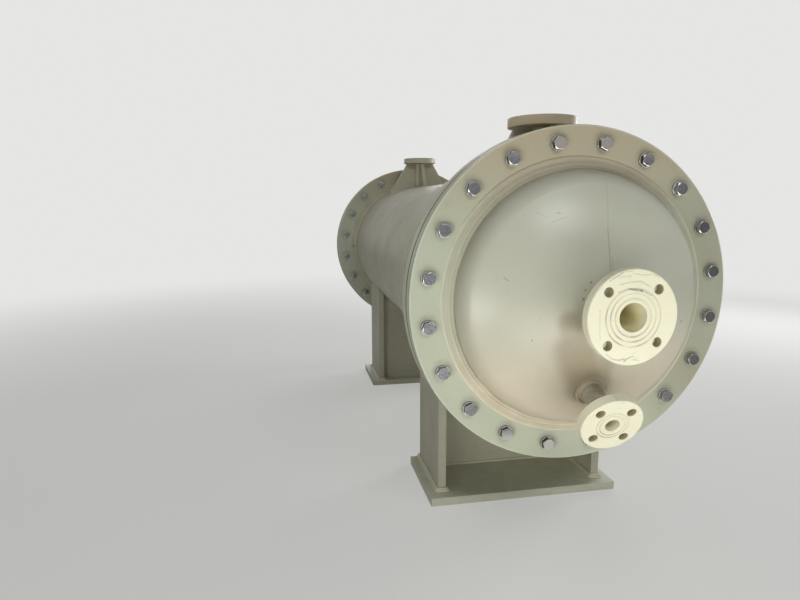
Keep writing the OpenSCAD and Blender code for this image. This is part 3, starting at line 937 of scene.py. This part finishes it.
# %% Finish of the bolts and the gaskets
def steel_finish(name, bright, dull, metal):
    """Painted reflection: dull on top, bright on cut corners that face down, dark at the sides but
    for the right.
    """
    material, tree, here = new_material(name)
    rough_patch = noise(tree, here, 0.004, detail=4.0, roughness=0.6)
    pits = noise(tree, here, 0.0009, detail=2.0)
    each = between(tree, noise(tree, here, 0.05, detail=1.0), 0.35, 0.65)
    normal = apart(tree, put(tree, "NewGeometry").outputs["True Normal"])
    facing = calc(tree, "ABSOLUTE", normal[1])
    top = between(tree, facing, 0.95, 0.99)
    side = between(tree, facing, 0.45, 0.20)
    # Painted reflection by place on the circle: darker at the right, paler at the top and the
    # bottom.
    x, _, z = apart(tree, here)
    wear_and_painted_light = layers(
        tree, bright,
        (between(tree, rough_patch, 0.3, 0.7), 1, dull),
        (each, 0.25, paint(96, 94, 91)),
        (between(tree, x, 0.20, 0.26), 0.7, paint(84, 84, 84)),
        (between(tree, z, AXIS + 0.27, AXIS + 0.30), 0.6, paint(182, 176, 166)),
        (between(tree, z, AXIS - 0.26, AXIS - 0.29), 0.7, paint(198, 196, 190)),
    )
    # Painted reflection on the sides: dark, but pale at the right.
    shade = blend(tree, between(tree, x, 0.14, 0.24), paint(70, 68, 64), paint(168, 167, 164))
    colour = layers(
        tree, paint(150, 148, 142),
        (between(tree, normal[2], -0.02, -0.30), 1, paint(250, 249, 242)),
        (top, 1, wear_and_painted_light),
        (side, 1, shade),
    )
    sheen = calc(tree, "MULTIPLY_ADD", top, 0.18, 0.16)
    roughness = calc(tree, "ADD", sheen, times(tree, rough_patch, 0.2))
    return close(material, colour, roughness, pits, 0.06 * MM, metallic=metal)


def rubber_finish():
    """Black rubber under some dust."""
    material, tree, here = new_material("gasket_rubber")
    grain = grain_of(tree, here, 0.04, 0.0008)
    colour = blend(tree, grain["Patches"], paint(34, 34, 33), paint(52, 50, 47))
    colour = blend(tree, dust_of(tree, here), colour, paint(120, 114, 102))
    roughness = calc(tree, "MULTIPLY_ADD", grain["Patches"], 0.1, 0.7)
    return close(material, colour, roughness, grain["Grain"], 0.10 * MM)


bolt_steel = steel_finish("bolt_steel", paint(134, 136, 141), paint(102, 103, 107), 0.8)
washer_steel = steel_finish("washer_steel", paint(226, 228, 226), paint(206, 207, 205), 0.3)
gasket_rubber = rubber_finish()

# %% [markdown]
# ## Put the finishes on the CAD nodes
# The CAD meshes already have the right shape, so they stay, and only their
# material slots change. A table from node to finish is easy to check against
# the list of nodes, and the loop stops if one of them was forgotten.

# %% Dress the nodes
finishes = {
    "shell": shell_plastic, "tube_bundle": tube_plastic,
    "tube_sheet": flange_plastic, "gasket": gasket_rubber,
    "head_flange": flange_plastic, "dished_head": dish_plastic, "head_weld": rim_weld_plastic,
    "channel_neck": channel_neck_plastic, "channel_flange": channel_plastic,
    "drain_neck": drain_neck_plastic, "drain_flange": drain_plastic,
    "inlet_neck": inlet_neck_plastic, "inlet_flange": inlet_plastic,
    "outlet_neck": outlet_neck_plastic, "outlet_flange": outlet_plastic,
    "inlet_gussets": gusset_plastic, "outlet_gussets": gusset_plastic, "band": shell_plastic,
    "saddle_foot": foot_plastic, "saddle_left": plate_plastic,
    "saddle_right": plate_plastic, "saddle_web": plate_plastic,
}
for name, node in frame["nodes"].items():
    kind = name.replace("front_", "").replace("rear_", "")
    node.data.materials.clear()
    node.data.materials.append(finishes[kind])
print("dressed", len(frame["nodes"]), "nodes with", len(set(finishes.values())), "finishes")

# %% [markdown]
# ## Pieces made here
# Bolts and beads are made with bmesh operators. A shape is built once at
# zero, turned into place and added to its piece. When a piece is closed, its
# faces are turned outwards, and it rides on the body, since nothing on this
# unit moves.

# %% Close a piece
BOTH_ENDS = ("front", "rear")


def keep(bm, name, material, crease=32.0):
    """Turns a bmesh into a finished piece. Edges over crease degrees stay sharp."""
    bmesh.ops.recalc_face_normals(bm, faces=bm.faces)
    mesh = bpy.data.meshes.new(name)
    bm.to_mesh(mesh)
    bm.free()
    mesh.shade_smooth()
    mesh.set_sharp_from_angle(angle=math.radians(crease))
    mesh.materials.append(material)
    piece = add_object(name, mesh)
    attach(piece, "root")
    print(name, len(mesh.polygons), "faces")
    return piece


def as_shape(bm, name):
    """Keeps a bmesh as a mesh that pieces can copy."""
    shape = bpy.data.meshes.new(name)
    bm.to_mesh(shape)
    bm.free()
    return shape


def add_shape(bm, shape, matrix):
    """Adds a copy of a mesh to a bmesh, moved by a matrix."""
    before = len(bm.verts)
    bm.from_mesh(shape)
    bm.verts.ensure_lookup_table()
    bmesh.ops.transform(bm, matrix=matrix, verts=bm.verts[before:])


def on_face(mount_name, inwards=0.0):
    """The matrix that puts a shape with Z as its axis onto a mount's face."""
    mount = mounts[mount_name]
    axis = Vector(mount["axis"])
    turn = Vector((0, 0, 1)).rotation_difference(axis).to_matrix().to_4x4()
    return Matrix.Translation(Vector(mount["pos_m"]) - axis * inwards) @ turn


print("front face matrix:", [round(v, 3) for v in on_face("front_head_bolts").translation])

# %% [markdown]
# ## Hexagon bolts
# The heads are M16: 24 mm across the flats, 10 mm high, on a washer 30 mm
# wide. A head starts as a six-sided prism. A real one is turned to a cone at
# its top, which cuts its corners round. Planes that lean on that cone cut the
# same corners here, one after another, and leave the round top edge.

# %% Shapes of a head and a nut
FLATS = 24 * MM
HEAD_T, NUT_T = 10 * MM, 13 * MM
LEAN = math.radians(26)
TOP_R = 0.48 * FLATS
CUTS = 24


def hexagon(height, both_ends):
    """A hexagon with its corners cut by cones at its top, or at both ends."""
    bm = bmesh.new()
    corner = FLATS / math.sqrt(3)
    middle = Matrix.Translation((0, 0, height / 2))
    bmesh.ops.create_cone(
        bm, cap_ends=True, segments=6, radius1=corner, radius2=corner, depth=height, matrix=middle)
    for level, way in [(height, 1), (0.0, -1)][:2 if both_ends else 1]:
        for step in range(CUTS):
            angle = math.tau * step / CUTS
            outward = Vector((math.cos(angle), math.sin(angle), 0))
            lean = outward * math.sin(LEAN) + Vector((0, 0, way * math.cos(LEAN)))
            touch = outward * TOP_R + Vector((0, 0, level))
            everything = bm.verts[:] + bm.edges[:] + bm.faces[:]
            cut = bmesh.ops.bisect_plane(
                bm, geom=everything, plane_co=touch, plane_no=lean, clear_outer=True)
            edges = [e for e in cut["geom_cut"] if isinstance(e, bmesh.types.BMEdge)]
            bmesh.ops.contextual_create(bm, geom=edges)
    return bm


head_shape = as_shape(hexagon(HEAD_T, both_ends=False), "shape_head")
nut_shape = as_shape(hexagon(NUT_T, both_ends=True), "shape_nut")
print("a head has", len(head_shape.polygons), "faces, and a nut", len(nut_shape.polygons))

# %% [markdown]
# ### Washers and thread ends
# A washer is a flat ring with a broken edge, and the end of a bolt past its
# nut shows a few turns of thread. Both are round, so both are profiles spun
# round Z. The thread is drawn as rings, not as a helix: over five turns of
# 2 mm nobody can tell, and the mesh stays small.

# %% Shapes of a washer and a thread end
WASHER_R, WASHER_T, WASHER_BORE, WASHER_EDGE = 15 * MM, 3 * MM, 8.7 * MM, 0.4 * MM
THREAD_R, THREAD_ROOT, THREAD_PITCH, THREAD_TURNS, THREAD_SUNK = 8 * MM, 7 * MM, 2 * MM, 5, 2 * MM


def spun(points, steps, name):
    """Spins a profile of (radius, height) points round Z, closed if it starts off the axis."""
    bm = bmesh.new()
    verts = [bm.verts.new((radius, 0, height)) for radius, height in points]
    closed = verts + ([verts[0]] if points[0][0] > 0.0001 else [])
    edges = [bm.edges.new(pair) for pair in zip(closed, closed[1:])]
    bmesh.ops.spin(
        bm, geom=verts + edges, cent=(0, 0, 0), axis=(0, 0, 1),
        angle=math.tau, steps=steps, use_merge=True)
    bmesh.ops.remove_doubles(bm, verts=bm.verts, dist=1e-6)
    bmesh.ops.recalc_face_normals(bm, faces=bm.faces)
    return as_shape(bm, name)


washer_shape = spun([
    (WASHER_BORE, 0), (WASHER_R, 0), (WASHER_R, WASHER_T - WASHER_EDGE),
    (WASHER_R - WASHER_EDGE, WASHER_T), (WASHER_BORE, WASHER_T),
], 32, "shape_washer")
thread = [(0, 0)]
for ring in range(THREAD_TURNS):
    thread += [(THREAD_ROOT, ring * THREAD_PITCH), (THREAD_R, (ring + 0.5) * THREAD_PITCH)]
thread += [(THREAD_ROOT, THREAD_TURNS * THREAD_PITCH), (0, THREAD_TURNS * THREAD_PITCH)]
thread_shape = spun(thread, 20, "shape_thread")
print("washer:", len(washer_shape.polygons), "faces, thread end:", len(thread_shape.polygons))

# %% [markdown]
# ### Bolt both joints
# Twenty bolts stand on a circle, half a step to each side of the top, and
# each head stopped at its own angle when it was tightened. The angles come
# from a seeded random, so every run turns them alike. Nuts and washers close
# the joint behind the tube sheet.

# %% Bolt the two joints
SEEDS = {"front": 11, "rear": 12}


def circle_of(bm, shape, face, lift, rng):
    """Adds one copy of a shape for every bolt of a joint."""
    for i in range(BOLTS):
        angle = math.radians(90 + (i + 0.5) * 360 / BOLTS)
        spot_on = Matrix.Rotation(angle, 4, "Z") @ Matrix.Translation((BOLT_CIRCLE, 0, lift))
        add_shape(bm, shape, face @ spot_on @ Matrix.Rotation(rng.uniform(0, math.tau), 4, "Z"))


for end in BOTH_ENDS:
    rng = random.Random(SEEDS[end])
    outside = on_face(end + "_head_bolts")
    inside = on_face(end + "_head_bolts", FACE - SHEET) @ Matrix.Rotation(math.pi, 4, "X")
    heads, washers, nuts = bmesh.new(), bmesh.new(), bmesh.new()
    circle_of(heads, head_shape, outside, WASHER_T, rng)
    circle_of(washers, washer_shape, outside, 0.0, rng)
    circle_of(washers, washer_shape, inside, 0.0, rng)
    circle_of(nuts, nut_shape, inside, WASHER_T, rng)
    circle_of(nuts, thread_shape, inside, WASHER_T + NUT_T - THREAD_SUNK, rng)
    keep(heads, end + "_bolt_heads", bolt_steel, crease=20)
    keep(washers, end + "_bolt_washers", washer_steel)
    keep(nuts, end + "_bolt_nuts", bolt_steel, crease=20)

# %% [markdown]
# ### The big welds of the heads
# The rim of a head is joined to its flange by runs laid side by side. The
# part has them as plain rings with sharp valleys. Molten plastic runs
# together, so here one soft outline is drawn across the weld, a slope with
# three low waves on it, and spun round the axis. It stands for the CAD ring.

# %% Spin the welds of the heads
# Each ridge is its radius, its height and its spread, all in millimetres.
RIDGES = ((281.5, 1.5, 3.0), (268.0, 1.5, 3.0), (260.5, 1.3, 2.0))
WELD_W, WELD_H, WELD_CLEAR = 28 * MM, 11.16 * MM, 0.25 * MM
TOE_SHARE = 1 / 12
ACROSS, AROUND = 36, 240


def weld_outline():
    """Radius and height across the weld, from the flange in to the dish."""
    outer, inner = DISH_R + WELD_W, DISH_R + WELD_CLEAR
    points = []
    for i in range(ACROSS + 1):
        radius = outer + (inner - outer) * i / ACROSS
        share = (outer - radius) / WELD_W
        height = WELD_H * share
        for middle, size, spread in RIDGES:
            height += size * MM * math.exp(-((radius / MM - middle) / spread) ** 2)
        points.append((radius, height * min(1.0, share / TOE_SHARE)))
    return points + [(inner, 0.0)]


weld_shape = spun(weld_outline(), AROUND, "shape_weld")
for end in BOTH_ENDS:
    bm = bmesh.new()
    add_shape(bm, weld_shape, on_face(end + "_head_bolts"))
    runs = keep(bm, end + "_head_weld_runs", rim_weld_plastic, crease=50)
    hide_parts(end + "_head_weld")

# %% [markdown]
# ## Weld beads along a path
# A bead is a rod that follows a joint. A curve with a round bevel would make
# one, but its run would be lost for the ripple. Here a ring of points is
# extruded from step to step and turned to follow the path, and every corner
# gets its distance along the run as a UV. Closed beads are joined at the end
# with a bridge, and open ones end in a small cap.

# %% Lay a bead
ROD_SIDES = 8


def write_run(one, step_of, runs, closed):
    """Gives every corner of a bead its distance along the run, also across the seam."""
    layer = one.loops.layers.uv.new("run")
    for face in one.faces:
        steps = [loop.vert[step_of] for loop in face.loops]
        seam = closed and max(steps) - min(steps) > 1
        for loop, step in zip(face.loops, steps):
            loop[layer].uv = (runs[-1 if seam and step == 0 else step], 0.0)


def lay_bead(bm, path, radius, closed=True):
    """Adds one bead of a given radius along the points of a path."""
    one = bmesh.new()
    step_of = one.verts.layers.int.new("step")
    count = len(path)
    runs = [0.0]
    for a, b in zip(path, path[1:] + path[:1]):
        runs.append(runs[-1] + (b - a).length)

    def stand(i):
        before = path[i - 1] if i or closed else path[0]
        after = path[(i + 1) % count] if i < count - 1 or closed else path[-1]
        turn = Vector((0, 0, 1)).rotation_difference((after - before).normalized())
        return Matrix.Translation(path[i]) @ turn.to_matrix().to_4x4()

    bmesh.ops.create_circle(one, segments=ROD_SIDES, radius=radius, matrix=stand(0))
    ring = first = one.edges[:]
    for i in range(1, count):
        grown = bmesh.ops.extrude_edge_only(one, edges=ring)["geom"]
        verts = [g for g in grown if isinstance(g, bmesh.types.BMVert)]
        edges = [g for g in grown if isinstance(g, bmesh.types.BMEdge)]
        ring = [edge for edge in edges if all(vert in verts for vert in edge.verts)]
        bmesh.ops.transform(one, matrix=stand(i) @ stand(i - 1).inverted(), verts=verts)
        for vert in verts:
            vert[step_of] = i
    if closed:
        bmesh.ops.bridge_loops(one, edges=first + ring)
    else:
        for loop in (first, ring):
            bmesh.ops.contextual_create(one, geom=loop)
    bmesh.ops.recalc_face_normals(one, faces=one.faces)
    write_run(one, step_of, runs, closed)
    shape = as_shape(one, "shape_bead")
    add_shape(bm, shape, Matrix.Identity(4))
    bpy.data.meshes.remove(shape)


print("a bead has", ROD_SIDES, "sides")

# %% [markdown]
# ### Paths round a pipe
# Most joints are circles. A matrix says where the circle's middle is and
# which way its axis points, so that one helper serves the shell and every
# nozzle, and it sets the points at an even spacing whatever the radius.

# %% Circles for beads
def circle(matrix, radius, height=0.0, spacing=6 * MM):
    """Points on a circle round a matrix's Z axis, without the closing one."""
    count = max(8, round(math.tau * radius / spacing))
    angles = [math.tau * i / count for i in range(count)]
    return [matrix @ Vector((radius * math.cos(a), radius * math.sin(a), height)) for a in angles]


def around(y):
    """A matrix with the shell's axis as Z, at y, facing the front."""
    return Matrix.Translation((0, y, AXIS)) @ Matrix.Rotation(math.pi / 2, 4, "X")


print("points round the shell:", len(circle(around(0), SHELL_R)))

# %% [markdown]
# ### Welds of the shell and the band
# The tube sheets are welded to the shell with three runs side by side, as
# the heads are, and the band is welded down along both edges. All of them
# are circles round the shell.

# %% Weld the tube sheets and the band
# Each run is how far it lies out from the shell, how far off the joint, and its radius.
SHEET_RUNS = ((3 * MM, 14 * MM, 5 * MM), (9 * MM, 8 * MM, 5.5 * MM), (17 * MM, 2 * MM, 5 * MM))
BAND_RUNS = ((5 * MM, 4 * MM, 6 * MM), (12 * MM, 1 * MM, 5 * MM))

for end, way in zip(BOTH_ENDS, (1, -1)):
    bm = bmesh.new()
    for out, off, size in SHEET_RUNS:
        lay_bead(bm, circle(around(way * (-SHEET + off)), SHELL_R + out), size)
    keep(bm, end + "_sheet_weld", bead_plastic)

band_low, band_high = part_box("front_band")
bm = bmesh.new()
for y, way in ((band_low.y, -1), (band_high.y, 1)):
    for out, off, size in BAND_RUNS:
        lay_bead(bm, circle(around(y + way * off), SHELL_R + out), size)
keep(bm, "front_band_weld", bead_plastic)

# %% [markdown]
# ### Welds of the nozzles on the heads
# The channel pipe has one neat run round its foot. The drain's pipe leans
# out of the dome at its own angle, so its joint is no circle: each point of
# the ring is slid along the pipe until it lies on the dome's sphere. Two
# runs there make a thick pale collar. A thin run closes each pipe behind its
# flange.

# %% Weld the channel and drain pipes
CROWN_R = 500 * MM
CHANNEL_R, CHANNEL_REACH, CHANNEL_T = 31.5 * MM, 102 * MM, 20 * MM
DRAIN_R, DRAIN_T = 20 * MM, 21 * MM
PIPE_STEP = 4 * MM


def on_crown(face, centre, radius, lift, drop=0.0):
    """A ring let down by drop, then slid along its pipe to a height of lift over the dome."""
    axis = (face.to_3x3() @ Vector((0, 0, -1))).normalized()
    path = []
    for point in circle(face, radius, spacing=PIPE_STEP):
        point.z -= drop
        away = point - centre
        along = away.dot(axis)
        half_chord = math.sqrt(along ** 2 - away.length_squared + (CROWN_R + lift) ** 2)
        path.append(point + axis * (-along - half_chord))
    return path


def behind_flange(bm, face, pipe_r, thickness):
    """The thin run that closes a pipe behind its flange."""
    lay_bead(bm, circle(face, pipe_r + 1 * MM, -thickness - 1 * MM, PIPE_STEP), 3 * MM)


for end in BOTH_ENDS:
    centre = on_face(end + "_channel_bolts", CHANNEL_REACH + CROWN_R).translation
    face = on_face(end + "_channel_bolts")
    bm = bmesh.new()
    lay_bead(bm, on_crown(face, centre, CHANNEL_R + 2 * MM, 1 * MM), 3.5 * MM)
    behind_flange(bm, face, CHANNEL_R, CHANNEL_T)
    keep(bm, end + "_channel_weld", bead_plastic)
    face = on_face(end + "_drain_bolts")
    bm = bmesh.new()
    lay_bead(bm, on_crown(face, centre, DRAIN_R + 1.5 * MM, 2 * MM, drop=2.5 * MM), 3.5 * MM)
    lay_bead(bm, on_crown(face, centre, DRAIN_R + 6 * MM, 0 * MM, drop=6.5 * MM), 3.5 * MM)
    behind_flange(bm, face, DRAIN_R, DRAIN_T)
    keep(bm, end + "_drain_weld", drain_bead_plastic)

# %% [markdown]
# ### Welds of the nozzles on the shell
# A pipe that stands on a round shell meets it along a curve that rises and
# falls. The bead takes its height from the shell's own circle at each point.
# The gussets are tacked along both sides of their foot: across the shell
# that is an arc, and along the shell a straight line.

# %% Weld the top nozzles and their gussets
GUSSET_T, GUSSET_CLEAR = 14 * MM, 6 * MM
FOOT_OUT, FOOT_UP, FOOT_BEAD, FOOT_STEPS = 3 * MM, 2 * MM, 4.5 * MM, 64
TACK_OUT, TACK_UP, TACK_BEAD, TACK_STEP = 2 * MM, 1.5 * MM, 3.5 * MM, 20 * MM


def on_shell(x, y, clear):
    """A point that clears the shell's upper side."""
    return Vector((x, y, AXIS + math.sqrt((SHELL_R + clear) ** 2 - x * x)))


def straight(start, end):
    """Points on a straight joint."""
    count = max(2, round((end - start).length / TACK_STEP))
    return [start.lerp(end, i / (count - 1)) for i in range(count)]


for end in ("inlet", "outlet"):
    y = mounts[end + "_bolts"]["pos_m"][1]
    low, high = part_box(end + "_gussets")
    neck_low, neck_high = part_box(end + "_neck")
    neck_r = (neck_high.x - neck_low.x) / 2
    bm = bmesh.new()
    foot_r = neck_r + FOOT_OUT
    angles = [math.tau * i / FOOT_STEPS for i in range(FOOT_STEPS)]
    foot_ring = [on_shell(foot_r * math.cos(a), y + foot_r * math.sin(a), FOOT_UP) for a in angles]
    lay_bead(bm, foot_ring, FOOT_BEAD)
    half = GUSSET_T / 2 + TACK_OUT
    for side in (-1, 1):
        start, far_x = side * (neck_r + GUSSET_CLEAR), side * high.x
        far_y = low.y if side < 0 else high.y
        xs = [start + (far_x - start) * i / 20 for i in range(21)]
        for way in (-1, 1):
            across = [on_shell(x, y + way * half, TACK_UP) for x in xs]
            lay_bead(bm, across, TACK_BEAD, closed=False)
            ends = [on_shell(way * half, end_y, TACK_UP) for end_y in (y + start, far_y)]
            lay_bead(bm, straight(*ends), TACK_BEAD, closed=False)
    keep(bm, end + "_weld", bead_plastic)

# %% [markdown]
# ### Welds of the saddles
# Each side plate has a thick fillet all the way round its foot, laid in two
# runs that show as lumps at the plate's end, and the web between them has a
# thin one. The path is the plate's outline with rounded corners, a little
# further out for the lower run.

# %% Weld the saddles
# Each run is how far it lies out from the plate, how far up from the foot, and its radius.
PLATE_RUNS = ((2 * MM, 6 * MM, 4 * MM), (6 * MM, 2 * MM, 3.5 * MM))
WEB_RUNS = ((1.5 * MM, 1.5 * MM, 3 * MM),)
PLATE_STEP = 10 * MM


def outline(low, high, out, z):
    """A rounded path round an upright plate's foot."""
    points = []
    corners = ((high.x, high.y), (low.x, high.y), (low.x, low.y), (high.x, low.y))
    for (cx, cy), start in zip(corners, (0, 90, 180, 270)):
        for i in range(5):
            a = math.radians(start + 90 * i / 4)
            points.append(Vector((cx + out * math.cos(a), cy + out * math.sin(a), z)))
    path = []
    for a, b in zip(points, points[1:] + points[:1]):
        count = max(1, round((b - a).length / PLATE_STEP))
        path += [a.lerp(b, i / count) for i in range(count)]
    return path


for end in BOTH_ENDS:
    foot_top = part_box(end + "_saddle_foot")[1].z
    bm = bmesh.new()
    for part, runs in (("left", PLATE_RUNS), ("right", PLATE_RUNS), ("web", WEB_RUNS)):
        low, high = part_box(end + "_saddle_" + part)
        for out, up, size in runs:
            lay_bead(bm, outline(low, high, out, foot_top + up), size)
    keep(bm, end + "_saddle_weld", bead_plastic)

# %% [markdown]
# ## Floor and background
# The unit stands on a plain pale floor. A real studio would use a paper roll
# that curves up behind the object, but that blocks the view from the back. A
# round floor whose edge fades into the colour of the background looks the
# same from every side, and keeps the shadow that sets the saddles down.

# %% Floor
BACKGROUND = paint(230, 230, 228)
FLOOR_R, FLOOR_DROP = 40.0, 0.5 * MM
FADE_FROM, FADE_TO = 1.3, 4.5
GLOW_NEAR = 0.45


def floor_finish():
    """A pale floor that fades into the background, and keeps the shadow."""
    material, tree, here = new_material("studio_floor")
    far = between(tree, on_vectors(tree, "LENGTH", here)["Value"], FADE_FROM, FADE_TO)
    colour = blend(tree, noise(tree, here, 0.8), paint(226, 226, 224), paint(220, 220, 218))
    diffuse = put(tree, "BsdfDiffuse", {"Color": colour}).outputs[0]
    glow = put(tree, "Emission", {"Color": BACKGROUND, "Strength": 1.0}).outputs[0]
    seen = put(tree, "LightPath").outputs["Is Camera Ray"]
    share = times(tree, seen, calc(tree, "MULTIPLY_ADD", far, 1 - GLOW_NEAR, GLOW_NEAR))
    mixed = put(tree, "MixShader", {0: share, 1: diffuse, 2: glow}).outputs[0]
    tree.links.new(mixed, put(tree, "OutputMaterial").inputs[0])
    return material


bm = bmesh.new()
bmesh.ops.create_circle(bm, cap_ends=True, segments=96, radius=FLOOR_R)
floor_mesh = as_shape(bm, "floor")
floor_mesh.materials.append(floor_finish())
floor = add_object("floor", floor_mesh)
floor.location.z = -FLOOR_DROP
print("floor of", FLOOR_R, "m, fading from", FADE_FROM, "to", FADE_TO, "m")

# %% [markdown]
# ### The world
# What the camera sees behind the unit, and what the steel mirrors, has the
# floor's colour at full strength. As light on plastic that would be far too
# flat, so for every other ray the world keeps only a small share.

# %% World
AMBIENT = 0.16

world = bpy.data.worlds.new("studio")
world.use_nodes = True
tree = world.node_tree
tree.nodes.clear()
rays = put(tree, "LightPath").outputs
mirrored = calc(tree, "MAXIMUM", rays["Is Glossy Ray"], rays["Is Transmission Ray"])
seen = calc(tree, "MAXIMUM", rays["Is Camera Ray"], mirrored)
strength = calc(tree, "MULTIPLY_ADD", seen, 1 - AMBIENT, AMBIENT)
sky = put(tree, "Background", {"Color": BACKGROUND, "Strength": strength})
tree.links.new(sky.outputs[0], put(tree, "OutputWorld").inputs[0])
bpy.context.scene.world = world
print("world ready, with", AMBIENT, "of its light on the unit")

# %% [markdown]
# ## Light
# In the photograph daylight comes in behind the camera: a broad patch of sky
# that shows as a soft sheen high on the dome, and light thrown up from the
# ground, which makes the lower half warm. A single bare lamp would give hard
# shadows. Wide lamps stand for the sky, the ground and the room instead. A
# weak one at the right keeps the front from going dark there, and one at the
# back and one at the side light the unit for whoever walks round it.

# %% Lamps
COOL, WARM, PLAIN = (0.96, 0.98, 1.0), (1.0, 0.985, 0.94), (1.0, 1.0, 1.0)
FRONT, FRONT_LOW, REAR = (0, -FACE, AXIS), (0, -FACE, AXIS - 0.1), (0, FACE, AXIS)
# Each lamp has a place, an aim, a width, a height, watts, a tint and a spread in degrees.
LAMPS = {
    "sky_lamp": ((0.35, -3.3, 2.5), FRONT, 1.15, 0.48, 21, COOL, 180),
    "ground_lamp": ((0.15, -1.8, 0.05), FRONT_LOW, 1.3, 0.5, 3.0, WARM, 110),
    "low_left_lamp": ((-1.3, -2.1, 0.12), FRONT_LOW, 1.0, 0.6, 5.8, WARM, 110),
    "right_lamp": ((2.2, -1.9, 0.9), FRONT, 0.9, 0.9, 1, PLAIN, 180),
    "room_lamp": ((-1.5, 0.8, 3.4), (0, 0.2, AXIS), 2.6, 2.6, 14, PLAIN, 180),
    "back_lamp": ((1.2, 3.4, 1.6), REAR, 1.8, 1.2, 34, PLAIN, 180),
    "side_lamp": ((2.8, 1.3, 1.4), (0.3, 0.1, AXIS), 1.1, 1.1, 38, PLAIN, 180),
}

for name, (spot, aim, width, height, watts, tone, spread) in LAMPS.items():
    light = bpy.data.lights.new(name, "AREA")
    light.shape = "RECTANGLE"
    light.size, light.size_y = width, height
    light.energy = watts
    light.color = tone
    light.spread = math.radians(spread)
    lamp = add_object(name, light)
    lamp.location = spot
    lamp.rotation_euler = (Vector(aim) - Vector(spot)).to_track_quat("-Z", "Y").to_euler()
    lamp.visible_camera = False
print("lamps:", len(LAMPS))
